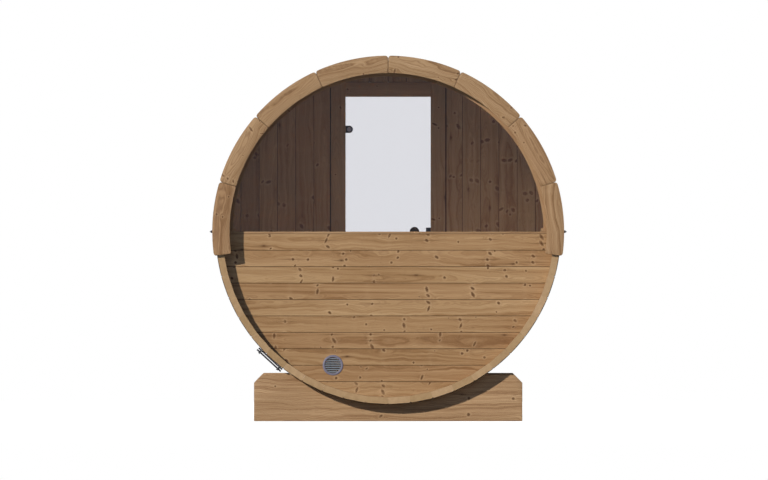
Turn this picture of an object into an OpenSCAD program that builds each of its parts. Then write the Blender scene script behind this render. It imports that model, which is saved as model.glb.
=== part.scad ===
// Barrel sauna: an upright cabin made of staves lying along Y, hooped with steel, on two saddles.
// One end has a half-moon window over a boarded wall, the other a framed glass door.
// Frame: origin on the ground under the middle, X across, Y along the barrel, Z up.
// The window end looks towards -Y and the door opens outwards, towards +Y.

/* [Barrel] */
// Distance from the barrel's axis to the outer face of a stave
barrel_r = 1008; // [800:1:1250]
// Length of the staves
stave_len = 2200; // [1700:10:2800]
// Thickness of a stave
stave_t = 42; // [28:1:60]
// Number of staves round the barrel
stave_count = 48; // [36:12:60]
// Bevel on a stave's outer edges
stave_bevel = 3; // [1:0.5:5]

/* [End walls] */
// Thickness of both end walls
wall_t = 42; // [28:1:60]
// How far each end wall stands back from the stave ends
wall_recess = 90; // [50:1:160]
// Depth of the groove in the staves that holds an end wall
groove_depth = 8; // [4:0.5:12]
// Clearance of the end wall in its groove
groove_clear = 0.3; // [0.1:0.1:1]

/* [Fascia rings] */
// Radial width of the curved boards on the stave ends
fascia_w = 102; // [70:1:130]
// Thickness of the curved boards
fascia_t = 28; // [18:1:40]
// How far the curved boards stand outside the staves
fascia_overhang = 20; // [5:1:30]
// Number of curved boards in one ring
fascia_count = 8; // [6:2:12]
// Angle that one curved board takes up
fascia_step = 24.5; // [14:0.5:28]
// Gap between two curved boards
fascia_gap = 2.5; // [1:0.5:6]

/* [Window] */
// Radial width of the arched frame inside the staves
arch_w = 58.5; // [40:0.5:90]
// Thickness of the glass
glass_t = 8; // [5:1:12]
// How deep the glass sits in the frame and the sill
glass_bite = 8; // [5:1:12]
// Play of the glass on each face
glass_play = 0.5; // [0.3:0.1:1]
// Height of the sill on top of the boarded wall
sill_h = 12; // [11:1:30]
// Width of the corner blocks on the sill
corner_block_w = 18; // [10:1:30]
// Height of the corner blocks on the sill
corner_block_h = 20; // [10:1:30]

/* [Vent] */
// Diameter of the vent's flange
vent_d = 120; // [80:1:160]
// How far the flange reaches over the wall round its hole
vent_lip = 11; // [6:1:20]
// Distance from the inner faces of the staves to the vent's centre
vent_inset = 121; // [90:1:200]
// Angle of the vent from straight down, towards -X
vent_angle = 22.5; // [10:0.5:40]
// Number of slots in the grille
vent_slots = 7; // [5:1:9]

/* [Door] */
// Clear width between the door frame's posts
door_w = 505; // [420:1:700]
// Wall left between the frame's upper corners and the staves
door_margin = 16; // [15:1:120]
// Width of the frame's posts, head and threshold
frame_w = 86.5; // [60:0.5:110]
// Depth of the frame along the barrel
frame_t = 62; // [50:1:90]
// Width of the rebate that the glass door closes into
rebate_w = 12; // [10:1:20]
// Gap round the glass door and behind it
door_gap = 5; // [5:0.5:8]
// Distance from the clear opening's top or bottom to a hinge
hinge_inset = 193; // [120:1:300]
// Height of the hinge's clamp, whose free end is round
clamp_d = 43; // [36:1:60]
// Gap between the post's edge and the clamp's inner plate
clamp_gap = 5.5; // [5:0.5:15]
// Diameter of the round wooden knob
knob_d = 59; // [40:1:70]
// Distance from the latch post's edge to the knob's centre
knob_inset = 95.5; // [60:0.5:140]
// Height of the door catch
catch_h = 50; // [30:1:80]

/* [Hoops] */
// Width of a steel hoop
hoop_w = 30; // [20:1:50]
// Thickness of a steel hoop
hoop_t = 1.2; // [0.8:0.1:3]
// Distance from a cradle to the hoop beside it
hoop_gap = 43; // [5:1:300]
// Angle of the tensioner below level, on the -X side
tensioner_angle = 47.2; // [20:0.1:60]
// Distance between the tensioner's two lugs
lug_span = 136; // [90:1:180]
// How far the threaded rod reaches past each lug
rod_over = 26.5; // [15:0.5:45]
// Diameter of the threaded rod
rod_d = 10; // [6:1:14]
// How far the side joints stand out from a hoop
joint_len = 33; // [20:1:45]

/* [Cradles] */
// Width of a cradle
cradle_w = 1569; // [1200:1:1900]
// Height of a cradle
cradle_h = 270; // [180:1:360]
// Timber left under the lowest stave
cradle_under = 100; // [50:1:150]
// Thickness of a cradle
cradle_t = 60; // [40:1:80]
// Distance from the stave ends to a cradle's outer face
cradle_inset = 112; // [60:1:130]
// Chamfer on a cradle's upper corners
cradle_chamfer = 45; // [10:1:70]

/* [Hidden] */

big_fn = 240;
small_fn = 48;
eps = 1;

// Barrel
segment_count = 12;
per_segment = stave_count / segment_count;
stave_step = 360 / stave_count;
inner_r = barrel_r - stave_t;
wall_r = inner_r + groove_depth;
half_len = stave_len / 2;
axis_z = cradle_under + barrel_r;
// Just outside the bevelled staves, where the hoops and cradles bear
bearing_clear = 0.1;
bearing_r = norm([barrel_r, barrel_r * tan(stave_step / 2) - stave_bevel]) + bearing_clear;

// End walls, as [low y, high y]
window_wall_y = [-half_len + wall_recess, -half_len + wall_recess + wall_t];
door_wall_y = [half_len - wall_recess - wall_t, half_len - wall_recess];

// Window
arch_r = inner_r - arch_w;
slot_t = glass_t + 2 * glass_play;
slot_y = (window_wall_y[0] + window_wall_y[1] - slot_t) / 2;
slot_r = arch_r + glass_bite + glass_play;
sill_half_w = sqrt(pow(wall_r, 2) - pow(sill_h, 2));

// Vent
vent_r = inner_r - vent_inset;
vent_x = -vent_r * sin(vent_angle);
vent_z = -vent_r * cos(vent_angle);
vent_hole_r = vent_d / 2 - vent_lip;
vent_flange_t = 4;
vent_sleeve_t = 2;
vent_field_r = vent_hole_r - 1;
slot_pitch = 2 * vent_field_r / (vent_slots + 1);

// Door frame, centred on the barrel's axis
half_w = door_w / 2;
frame_half_w = half_w + frame_w;
frame_half_h = floor(sqrt(pow(inner_r, 2) - pow(frame_half_w, 2)) - door_margin);
half_h = frame_half_h - frame_w;
frame_proud = (frame_t - wall_t) / 2;
frame_y = [door_wall_y[0] - frame_proud, door_wall_y[1] + frame_proud];
rebate_y = frame_y[1] - glass_t - door_gap;

// Glass door, flush with the frame's outer face
pane_half_w = half_w + rebate_w - door_gap;
pane_half_h = half_h + rebate_w - door_gap;
pane_y = [frame_y[1] - glass_t, frame_y[1]];

// Hinges
knuckle_r = 7;
pin_r = 4;
pin_clear = 0.05;
pivot_x = -half_w - rebate_w;
pivot_y = frame_y[1] + knuckle_r + door_gap;
hinge_z = half_h - hinge_inset;
knuckle_h = 20;
knuckle_gap = 0.5;
leaf_h = 60;
leaf_t = 3;
// Post left clear beside the leaf, and the leaf's distance from the knuckles
leaf_margin = 23.5;
leaf_gap = 2;
knuckle_seat = 6;
clamp_start = 0.5;
clamp_x = -half_w + clamp_start + clamp_d / 2;
// Clearance of the outer plate round the fixed knuckles
knuckle_clear = 11.4;
clamp_t = 8;
clamp_bolt_r = 7;
// How far the knuckle's arm reaches past the clamp's far end, and its set-back
arm_bite = 8;
arm_inset = 2;
catch_reach = 28;
catch_t = 18;
catch_gap = 4;
knob_x = half_w - knob_inset;
knob_len = 45;
knob_bolt_r = 5;
bolt_clear = 1;

// Cradles
cradle_far_y = half_len - cradle_inset;
cradle_near_y = cradle_far_y - cradle_t;

// Hoops
hoop_r_out = bearing_r + hoop_t;
hoop_mid_y = cradle_near_y - hoop_gap - hoop_w / 2;
// Lugs and joint plates are narrower than the hoop by this much on each side
lug_margin = 3;
lug_t = 4;
lug_r = hoop_r_out + 28;
rod_r = hoop_r_out + 16;
rod_len = lug_span + 2 * rod_over;
nut_t = 8;
nut_d = 1.8 * rod_d;
seat_gap = 0.05;
joint_plate_t = 3;
joint_plate_gap = 1;
joint_bolt_d = 12;
joint_bolt_len = 15;
// Half of the opening that the tensioner bridges, kept inside the lugs
hoop_gap_angle = asin((lug_span / 2 - 2 * lug_t) / hoop_r_out);

function polar(r, a) = [r * sin(a), -r * cos(a)];
function stave_point(a, side) = polar(barrel_r, a)
  + side * (barrel_r * tan(stave_step / 2) - stave_bevel) * [cos(a), sin(a)];
function joint_r() = barrel_r / cos(stave_step / 2) - stave_bevel;

// Lays a flat outline drawn in X and Z along the barrel, between two places on Y
module along_y(y) {
  translate([0, y[1], axis_z])
    rotate([90, 0, 0])
      linear_extrude(y[1] - y[0]) children();
}

module disc(r, y, fn = big_fn) {
  translate([0, y[1], axis_z])
    rotate([90, 0, 0])
      cylinder(r = r, h = y[1] - y[0], $fn = fn);
}

module block(x, y, z) {
  translate([x[0], y[0], axis_z + z[0]])
    cube([x[1] - x[0], y[1] - y[0], z[1] - z[0]]);
}

// A bar of rectangular section bent round the barrel's axis, angles from +X towards +Z
module arc_bar(r, y, a) {
  translate([0, y[1], axis_z])
    rotate([90, 0, 0])
      rotate([0, 0, a[0]])
        rotate_extrude(angle = a[1] - a[0], $fn = big_fn)
          translate([r[0], 0]) square([r[1] - r[0], y[1] - y[0]]);
}

module mirror_x(side) {
  if (side < 0) mirror([1, 0, 0]) children();
  else children();
}

// Staves, numbered in groups from the lowest joint round by +X
module stave_group(index) {
  first = index * per_segment;
  outer = [for (k = [first : first + per_segment - 1])
    each [polar(joint_r(), k * stave_step),
      stave_point((k + 0.5) * stave_step, -1),
      stave_point((k + 0.5) * stave_step, 1)]];
  last = [polar(joint_r(), (first + per_segment) * stave_step)];
  inner = [for (k = [per_segment : -1 : 0])
    polar(inner_r / cos(stave_step / 2), (first + k) * stave_step)];
  grow = [-groove_clear, groove_clear];
  color([0.61, 0.48, 0.35])
    difference() {
      along_y([-half_len, half_len]) polygon(concat(outer, last, inner));
      disc(wall_r + groove_clear, window_wall_y + grow);
      disc(wall_r + groove_clear, door_wall_y + grow);
    }
}

module fascia(y) {
  r = [barrel_r + fascia_overhang - fascia_w, barrel_r + fascia_overhang];
  half_gap = asin(fascia_gap / 2 / r[1]);
  start = 90 - fascia_count * fascia_step / 2;
  color([0.62, 0.49, 0.38])
    for (k = [0 : fascia_count - 1])
      arc_bar(r, y, [start + k * fascia_step + half_gap, start + (k + 1) * fascia_step - half_gap]);
}

// Window end
module window_end_wall() {
  color([0.61, 0.47, 0.35])
    difference() {
      intersection() {
        disc(wall_r, window_wall_y);
        block([-wall_r, wall_r], window_wall_y + [-eps, eps], [-wall_r - eps, -sill_h]);
      }
      translate([vent_x, 0, vent_z])
        disc(vent_hole_r, window_wall_y + [-eps, eps], small_fn);
    }
}

module window_sill() {
  color([0.66, 0.54, 0.42])
    difference() {
      block([-sill_half_w, sill_half_w], window_wall_y, [-sill_h, 0]);
      block([-slot_r, slot_r], [slot_y, slot_y + slot_t], [-glass_bite - glass_play, eps]);
    }
}

module window_arch() {
  block_r = arch_r + glass_bite / 4;
  block_y = [window_wall_y[0], slot_y - glass_play];
  color([0.6, 0.47, 0.36])
    difference() {
      union() {
        arc_bar([arch_r, wall_r], window_wall_y, [0, 180]);
        for (side = [-1, 1])
          mirror_x(side)
            block([block_r - corner_block_w, block_r], block_y, [0, corner_block_h]);
      }
      disc(slot_r, [slot_y, slot_y + slot_t]);
    }
}

module window_glass() {
  glass_y = [slot_y + glass_play, slot_y + slot_t - glass_play];
  color([0.85, 0.88, 0.9, 0.4])
    intersection() {
      disc(slot_r - glass_play, glass_y);
      block([-slot_r, slot_r], glass_y + [-eps, eps], [-glass_bite, slot_r]);
    }
}

module vent_grille() {
  flange_y = [window_wall_y[0] - vent_flange_t, window_wall_y[0]];
  sleeve_r = vent_hole_r - groove_clear;
  color([0.36, 0.37, 0.4])
    translate([vent_x, 0, vent_z])
      difference() {
        union() {
          disc(vent_d / 2, flange_y, small_fn);
          disc(sleeve_r, window_wall_y + [-eps, 0], small_fn);
        }
        disc(sleeve_r - vent_sleeve_t, window_wall_y + [0, eps], small_fn);
        for (k = [0 : vent_slots - 1]) {
          z = (k - (vent_slots - 1) / 2) * slot_pitch;
          reach = sqrt(pow(vent_field_r - slot_pitch / 2, 2) - pow(z, 2));
          block([-reach, reach], flange_y + [-eps, eps], [z - slot_pitch / 4, z + slot_pitch / 4]);
        }
      }
}

// Door end
module door_wall(x, z) {
  color([0.58, 0.45, 0.34])
    intersection() {
      disc(wall_r, door_wall_y);
      block(x, door_wall_y + [-eps, eps], z);
    }
}

module door_wall_left() {
  door_wall([-wall_r - eps, -frame_half_w], [-wall_r, wall_r]);
}

module door_wall_right() {
  door_wall([frame_half_w, wall_r + eps], [-wall_r, wall_r]);
}

module door_wall_above() {
  door_wall([-frame_half_w, frame_half_w], [frame_half_h, wall_r + eps]);
}

module door_wall_below() {
  door_wall([-frame_half_w, frame_half_w], [-wall_r - eps, -frame_half_h]);
}

module door_rebate() {
  block([-half_w - rebate_w, half_w + rebate_w], [rebate_y, frame_y[1] + eps],
    [-half_h - rebate_w, half_h + rebate_w]);
}

module door_frame_board(x, z) {
  color([0.55, 0.43, 0.33])
    difference() {
      block(x, frame_y, z);
      door_rebate();
    }
}

module door_post_hinge_side() {
  door_frame_board([-frame_half_w, -half_w], [-frame_half_h, frame_half_h]);
}

module door_post_latch_side() {
  door_frame_board([half_w, frame_half_w], [-frame_half_h, frame_half_h]);
}

module door_head() {
  door_frame_board([-half_w, half_w], [half_h, frame_half_h]);
}

module door_threshold() {
  door_frame_board([-half_w, half_w], [-frame_half_h, -half_h]);
}

module upright(x, y, z, r, h) {
  translate([x, y, axis_z + z - h / 2]) cylinder(r = r, h = h, $fn = small_fn);
}

// The fixed half of each hinge: a leaf on the post, two knuckles and the pin
module door_hinge_leaves() {
  knuckle_z = [knuckle_h / 2 + knuckle_gap, leaf_h / 2];
  color([0.16, 0.16, 0.18])
    for (side = [-1, 1])
      translate([0, 0, side * hinge_z]) {
        block([leaf_margin - frame_half_w, pivot_x - knuckle_r - leaf_gap],
          [frame_y[1], frame_y[1] + leaf_t], [-leaf_h / 2, leaf_h / 2]);
        for (end = [-1, 1]) {
          mid = end * (knuckle_z[0] + knuckle_z[1]) / 2;
          length = knuckle_z[1] - knuckle_z[0];
          upright(pivot_x, pivot_y, mid, knuckle_r, length);
          block([pivot_x - knuckle_r - knuckle_seat, pivot_x - knuckle_r / 2], [frame_y[1], pivot_y],
            [mid - length / 2, mid + length / 2]);
        }
        upright(pivot_x, pivot_y, 0, pin_r, leaf_h);
      }
}

module door_catch() {
  color([0.2, 0.2, 0.22])
    block([half_w - catch_reach, half_w], [rebate_y - catch_gap - catch_t, rebate_y - catch_gap],
      [-catch_h / 2, catch_h / 2]);
}

// A clamp plate with one round end, from a straight edge at x
module clamp_plate(x, y) {
  translate([clamp_x, 0, 0]) disc(clamp_d / 2, y, small_fn);
  block([x, clamp_x], y, [-clamp_d / 2, clamp_d / 2]);
}

// The moving half of each hinge: two plates bolted through the glass, and a knuckle
module door_hinge_clamps() {
  color([0.2, 0.2, 0.22])
    for (side = [-1, 1])
      translate([0, 0, side * hinge_z])
        difference() {
          union() {
            clamp_plate(pivot_x + knuckle_clear, [pane_y[1], pane_y[1] + clamp_t]);
            clamp_plate(clamp_gap - half_w, [pane_y[0] - clamp_t, pane_y[0]]);
            translate([clamp_x, 0, 0]) disc(clamp_bolt_r, pane_y + [-eps, eps], small_fn);
            block([pivot_x, clamp_x - clamp_d / 2 + arm_bite], [pane_y[1] + arm_inset, pivot_y - arm_inset],
              [-knuckle_h / 2, knuckle_h / 2]);
            upright(pivot_x, pivot_y, 0, knuckle_r, knuckle_h);
          }
          upright(pivot_x, pivot_y, 0, pin_r + pin_clear, knuckle_h + 2 * eps);
        }
}

module door_glass() {
  color([0.85, 0.88, 0.9, 0.4])
    difference() {
      block([-pane_half_w, pane_half_w], pane_y, [-pane_half_h, pane_half_h]);
      for (side = [-1, 1])
        translate([clamp_x, 0, side * hinge_z])
          disc(clamp_bolt_r + bolt_clear, pane_y + [-eps, eps], small_fn);
      translate([knob_x, 0, 0])
        disc(knob_bolt_r + bolt_clear, pane_y + [-eps, eps], small_fn);
    }
}

// A turned knob standing on a face at Y = 0 and growing towards +Y
module turned_knob() {
  r = knob_d / 2;
  rotate([-90, 0, 0])
    rotate_extrude($fn = small_fn)
      polygon([[0, 0], [r * 0.55, 0], [r * 0.42, knob_len * 0.25], [r * 0.85, knob_len * 0.4],
        [r, knob_len * 0.62], [r * 0.88, knob_len * 0.84], [r * 0.5, knob_len], [0, knob_len]]);
}

module door_knob_inside() {
  color([0.2, 0.14, 0.1])
    translate([knob_x, pane_y[0], axis_z]) mirror([0, 1, 0]) turned_knob();
}

module door_knob_outside() {
  color([0.2, 0.14, 0.1])
    union() {
      translate([knob_x, pane_y[1], axis_z]) turned_knob();
      translate([knob_x, 0, 0]) disc(knob_bolt_r, pane_y + [0, eps], small_fn);
    }
}

// Hoops, each open under its tensioner
module hoop(end) {
  y = [end * hoop_mid_y - hoop_w / 2, end * hoop_mid_y + hoop_w / 2];
  start = 180 + tensioner_angle;
  color([0.5, 0.5, 0.52])
    arc_bar([bearing_r, hoop_r_out], y, [start + hoop_gap_angle, start + 360 - hoop_gap_angle]);
}

// Drawn with the rod along X at the top of the barrel, then turned to its place
module tensioner() {
  foot = lug_span / 2 - lug_t / 2;
  lug_low = sqrt(pow(hoop_r_out, 2) - pow(foot, 2)) + seat_gap;
  translate([-rod_len / 2, 0, rod_r])
    rotate([0, 90, 0]) cylinder(d = rod_d, h = rod_len, $fn = small_fn);
  for (side = [-1, 1]) {
    translate([side * lug_span / 2 - lug_t / 2, lug_margin - hoop_w / 2, lug_low])
      cube([lug_t, hoop_w - 2 * lug_margin, lug_r - lug_low]);
    translate([side * (lug_span + lug_t + nut_t) / 2 - nut_t / 2, 0, rod_r])
      rotate([0, 90, 0]) cylinder(d = nut_d, h = nut_t, $fn = 6);
  }
}

module hoop_tensioners() {
  color([0.15, 0.15, 0.17])
    for (end = [-1, 1])
      translate([0, end * hoop_mid_y, axis_z])
        rotate([0, -90 - tensioner_angle, 0])
          tensioner();
}

// A folded joint in a hoop at the barrel's side: two plates drawn together by a small bolt
module hoop_joints() {
  low = hoop_r_out + seat_gap;
  color([0.2, 0.2, 0.22])
    for (end = [-1, 1], side = [-1, 1])
      translate([0, end * hoop_mid_y, axis_z])
        mirror_x(side) {
          for (z = [-joint_plate_gap / 2 - joint_plate_t, joint_plate_gap / 2])
            translate([low, lug_margin - hoop_w / 2, z])
              cube([joint_len, hoop_w - 2 * lug_margin, joint_plate_t]);
          translate([low + joint_len - joint_bolt_d, 0, -joint_bolt_len / 2])
            cylinder(d = joint_bolt_d, h = joint_bolt_len, $fn = 6);
        }
}

module cradle(end) {
  y = end < 0 ? [-cradle_far_y, -cradle_near_y] : [cradle_near_y, cradle_far_y];
  half = cradle_w / 2;
  low = -axis_z;
  top = cradle_h - axis_z;
  color([0.6, 0.48, 0.37])
    difference() {
      along_y(y)
        polygon([[-half, low], [half, low], [half, top - cradle_chamfer],
          [half - cradle_chamfer, top], [cradle_chamfer - half, top],
          [-half, top - cradle_chamfer]]);
      disc(bearing_r, y + [-eps, eps]);
    }
}

stave_group(0);  // staves_01
stave_group(1);  // staves_02
stave_group(2);  // staves_03
stave_group(3);  // staves_04
stave_group(4);  // staves_05
stave_group(5);  // staves_06
stave_group(6);  // staves_07
stave_group(7);  // staves_08
stave_group(8);  // staves_09
stave_group(9);  // staves_10
stave_group(10);  // staves_11
stave_group(11);  // staves_12
fascia([-half_len - fascia_t, -half_len]);  // window_end_fascia
fascia([half_len, half_len + fascia_t]);  // door_end_fascia
window_end_wall();
window_sill();
window_arch();
window_glass();
vent_grille();
door_wall_left();
door_wall_right();
door_wall_above();
door_wall_below();
door_post_hinge_side();
door_post_latch_side();
door_head();
door_threshold();
door_hinge_leaves();
door_catch();
door_glass();
door_hinge_clamps();
door_knob_inside();
door_knob_outside();
hoop(-1);  // hoop_window_end
hoop(1);  // hoop_door_end
hoop_tensioners();
hoop_joints();
cradle(-1);  // cradle_window_end
cradle(1);  // cradle_door_end
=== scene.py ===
# %% [markdown]
# # A barrel sauna
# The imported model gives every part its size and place, and this script gives it its looks.
# Wood is nearly everything here, so most of the work goes into single boards with eased edges,
# each with its own stretch of grain, and into one pattern of growth rings, streaks and knots.

# %% Load the frame
import math
import random
from functools import partial
import bmesh
import bpy
from mathutils import Matrix, Vector


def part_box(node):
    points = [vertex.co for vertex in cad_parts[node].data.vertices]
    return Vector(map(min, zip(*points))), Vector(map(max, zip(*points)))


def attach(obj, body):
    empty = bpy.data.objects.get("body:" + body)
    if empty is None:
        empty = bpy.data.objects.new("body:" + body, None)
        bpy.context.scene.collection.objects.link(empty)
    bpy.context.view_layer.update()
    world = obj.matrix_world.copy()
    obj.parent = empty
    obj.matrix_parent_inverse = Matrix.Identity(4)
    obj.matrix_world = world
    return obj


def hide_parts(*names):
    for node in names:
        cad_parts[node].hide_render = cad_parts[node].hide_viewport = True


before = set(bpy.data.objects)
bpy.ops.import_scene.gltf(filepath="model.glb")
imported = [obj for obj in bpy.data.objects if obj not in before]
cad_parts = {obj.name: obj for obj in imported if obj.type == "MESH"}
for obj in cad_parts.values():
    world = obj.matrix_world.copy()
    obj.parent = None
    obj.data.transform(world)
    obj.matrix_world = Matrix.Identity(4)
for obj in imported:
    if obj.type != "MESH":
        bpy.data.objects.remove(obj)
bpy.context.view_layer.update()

# %% [markdown]
# ## Sizes
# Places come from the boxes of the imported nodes. The sizes that a box can't give, such as a
# board's width inside a wall, are named here in metres.

# %% Measure the barrel
MM = 0.001
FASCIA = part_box("window_end_fascia")
WINDOW_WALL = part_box("window_end_wall")
DOOR_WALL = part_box("door_wall_left")
FASCIA_R = (FASCIA[1][0] - FASCIA[0][0]) / 2
AXIS_Z = FASCIA[1][2] - FASCIA_R
FASCIA_W = 102 * MM
STAVE_COUNT = 48
STAVE_R = FASCIA_R - 20 * MM
STAVE_T = 42 * MM
STAVE_END = -FASCIA[1][1]
INNER_R = STAVE_R - STAVE_T
GROOVE = 8 * MM
GROOVE_PLAY = 0.3 * MM
WALL_R = INNER_R + GROOVE
print("axis height", round(AXIS_Z, 4), "stave radius", round(STAVE_R, 4), "stave end",
      round(STAVE_END, 4))

# %% [markdown]
# ## Small helpers
# One function turns a colour written as sRGB hex into the linear numbers that shaders use, and
# one adds a node to any tree: a setting that is a socket becomes a link, anything else a value.
# Long sums are chains of nodes of which only the first output is wanted. A shorter call serves
# those, so that a sum reads from left to right.

# %% Helpers for nodes
def paint(code):
    """An sRGB hex colour as linear red, green, blue and alpha."""
    parts = [int(code[i:i + 2], 16) / 255 for i in (0, 2, 4)]
    return [c / 12.92 if c <= 0.04045 else ((c + 0.055) / 1.055) ** 2.4 for c in parts] + [1]


def add(tree, kind, sockets=None, **settings):
    """Adds a node. sockets maps an input's name or number to a value or to another node's output."""
    made = tree.nodes.new(kind)
    for key, value in settings.items():
        setattr(made, key, value)
    for key, value in (sockets or {}).items():
        if isinstance(value, bpy.types.NodeSocket):
            tree.links.new(value, made.inputs[key])
        else:
            made.inputs[key].default_value = value
    return made


def new_material(name):
    """An empty material with its output node."""
    material = bpy.data.materials.new(name)
    material.use_nodes = True
    material.node_tree.nodes.clear()
    return material, material.node_tree, add(material.node_tree, "ShaderNodeOutputMaterial")


def first_output(tree, kind, *values, **settings):
    """Adds a node with its inputs filled in order and gives its first output. A kind in capitals,
    such as "ADD", is an operation of the Math node."""
    if kind.isupper():
        kind, settings["operation"] = "ShaderNodeMath", kind
    return add(tree, kind, dict(enumerate(values)), **settings).outputs[0]

# %% [markdown]
# ## The grain of pine
# A board is a slice out of a tree, so its rings are drawn the way they grow: as distance from a
# pith line that runs beside the board, a little out of true with it. Every board carries a
# "board" attribute, its own coordinates in metres: along the grain, across it and into it. A
# "tone" attribute, one random number a board, moves the pith and the knots, so that no two
# boards match. Branches leave a pine in whorls, a ring of them at one height, so a board shows
# its knots in lines across the grain: some cut through as dark dots, some cut lengthwise as
# slanting spikes. Between the whorls there are only small dots and a few dark slits of resin.
# Near a knot the ring distance is pulled towards it, which makes the grain flow round.
# It is built in a few steps, as a node group that every kind of timber shares.

# %% The group and its inputs
tree = bpy.data.node_groups.new("pine_grain", "ShaderNodeTree")
face = tree.interface
for name, value in (("Ring spacing", 3.6 * MM), ("Whorl spacing", 300 * MM), ("Knot size", 7 * MM),
                    ("Knot share", 0.7), ("Dot share", 0.46),
                    ("Run out", 0.05), ("Wander", 0.035), ("Pith side", 0.03)):
    socket = face.new_socket(name, in_out="INPUT", socket_type="NodeSocketFloat")
    socket.default_value = value
for name in ("Streak", "Ring", "Knot", "Core", "Halo", "Resin", "Slit", "Band", "Tone", "Fibre"):
    face.new_socket(name, in_out="OUTPUT", socket_type="NodeSocketFloat")
given = add(tree, "NodeGroupInput").outputs
shown = add(tree, "NodeGroupOutput").inputs
step = partial(first_output, tree)
print("inputs", [socket.name for socket in given if socket.name])

# %% [markdown]
# Chance has to be the same on every run and in every spot of a board, so it comes from noise that
# is read at whole numbers. A knot is an oval distance, 1 at its edge, and a soft mark is a bell
# of that distance. The board's own chance then moves it to its own place in an endless plank.

# %% Places and chance
SPREAD_OF_LOTS = 917.0


def lots_at(place):
    """Three fair numbers for a place in a grid."""
    made = add(tree, "ShaderNodeTexWhiteNoise", {"Vector": place}, noise_dimensions="3D")
    return add(tree, "ShaderNodeSeparateColor", {0: made.outputs["Color"]}).outputs


def spot(along, across, wide, high):
    """Distance from a spot's middle, 1 at its edge."""
    a, b = step("DIVIDE", along, wide), step("DIVIDE", across, high)
    return step("SQRT", step("ADD", step("MULTIPLY", a, a), step("MULTIPLY", b, b)))


def fade(distance):
    """A soft bell, 1 in the middle of a spot."""
    return step("EXPONENT", step("MULTIPLY", step("MULTIPLY", distance, distance), -1.0))


board = add(tree, "ShaderNodeAttribute", attribute_name="board").outputs["Vector"]
tone = add(tree, "ShaderNodeAttribute", attribute_name="tone").outputs["Fac"]
mark = step("MULTIPLY", tone, SPREAD_OF_LOTS)
own = lots_at(step("ShaderNodeCombineXYZ", mark, 3.0, 5.0))
along, across, into = add(tree, "ShaderNodeSeparateXYZ", {0: board}).outputs
far = step("MULTIPLY_ADD", own[0], 23.0, along)
wide = step("MULTIPLY_ADD", own[1], 17.0, across)
moved = step("ShaderNodeCombineXYZ", far, wide, into)

# %% [markdown]
# A whorl stands somewhere in each length of board, and branches leave it side by side. Chance
# says which of them are in this board, how thick they are and whether the saw cut one lengthwise.
# Noise on the distance makes a knot's edge ragged.

# %% Whorls and their branches
BRANCH_PITCH, BRANCH_STRAY = 36 * MM, 16 * MM
SPIKE_SHARE, SPIKE_LENGTH = 0.38, 18 * MM
NO_KNOT = 9.0
row = step("DIVIDE", far, given["Whorl spacing"])
row_number = step("FLOOR", row)
row_lots = lots_at(step("ShaderNodeCombineXYZ", row_number, mark, 1.0))
from_row = step("MULTIPLY", step("SUBTRACT", step("FRACT", row),
                                 step("MULTIPLY_ADD", row_lots[0], 0.6, 0.2)), given["Whorl spacing"])
cell = step("DIVIDE", step("MULTIPLY_ADD", row_lots[1], 0.3, wide), BRANCH_PITCH)
branch = lots_at(step("ShaderNodeCombineXYZ", row_number, step("FLOOR", cell), mark))
up = step("MULTIPLY", step("SUBTRACT", step("FRACT", cell), 0.5), BRANCH_PITCH)
aside = step("MULTIPLY_ADD", step("SUBTRACT", branch[0], 0.5), BRANCH_STRAY, from_row)
aside = step("MULTIPLY_ADD", up, step("MULTIPLY", step("SUBTRACT", branch[1], 0.5), 1.3), aside)
is_spike = step("GREATER_THAN", branch[2], 1 - SPIKE_SHARE)
there = step("LESS_THAN", step("FRACT", step("MULTIPLY", branch[2], 7.3)), given["Knot share"])
size = step("MULTIPLY", given["Knot size"], step("MULTIPLY_ADD", branch[1], 0.5, 0.7))
tall = step("MULTIPLY_ADD", is_spike, step("SUBTRACT", SPIKE_LENGTH, size), size)
ragged = add(tree, "ShaderNodeTexNoise", {"Vector": moved, "Scale": 170.0, "Detail": 2.0}).outputs[0]
rough = step("MULTIPLY_ADD", ragged, 0.9, 0.55)
whorl_far = step("MULTIPLY", spot(aside, up, size, tall), rough)
whorl_far = step("ADD", whorl_far, step("MULTIPLY", step("SUBTRACT", 1.0, there), NO_KNOT))

# %% [markdown]
# Between the whorls, a few cells of a coarse Voronoi pattern hold a lone dot, and some of the
# rest a slit of resin: a dark belly with a long thin tail along the grain.

# %% Lone dots and slits
DOT_PITCH, SLIT_SHARE = 125 * MM, 0.09
SLIT_TAIL, SLIT_BELLY = (46 * MM, 2.6 * MM), (15 * MM, 6 * MM)
spread_out = step("ShaderNodeCombineXYZ", far, wide)
dots = add(tree, "ShaderNodeTexVoronoi",
           {"Vector": spread_out, "Scale": 1 / DOT_PITCH, "Randomness": 0.95},
           voronoi_dimensions="2D", feature="F1")
dot_lots = add(tree, "ShaderNodeSeparateColor", {0: dots.outputs["Color"]}).outputs
from_dot = step("ShaderNodeVectorMath", spread_out, dots.outputs["Position"], operation="SUBTRACT")
dot_along, dot_across = add(tree, "ShaderNodeSeparateXYZ", {0: from_dot}).outputs[:2]
has_knots = step("GREATER_THAN", given["Knot share"], 0.01)
dot_size = step("MULTIPLY", given["Knot size"], step("MULTIPLY_ADD", dot_lots[1], 0.5, 0.45))
dot_far = step("MULTIPLY", spot(dot_along, dot_across, dot_size, dot_size), rough)
dot_there = step("MULTIPLY", step("LESS_THAN", dot_lots[0], given["Dot share"]), has_knots)
dot_far = step("ADD", dot_far, step("MULTIPLY", step("SUBTRACT", 1.0, dot_there), NO_KNOT))
near = step("MINIMUM", whorl_far, dot_far)
tail = step("MULTIPLY", fade(spot(dot_along, dot_across, *SLIT_TAIL)), 0.75)
slit = step("MAXIMUM", tail, fade(spot(dot_along, dot_across, *SLIT_BELLY)))
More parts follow.
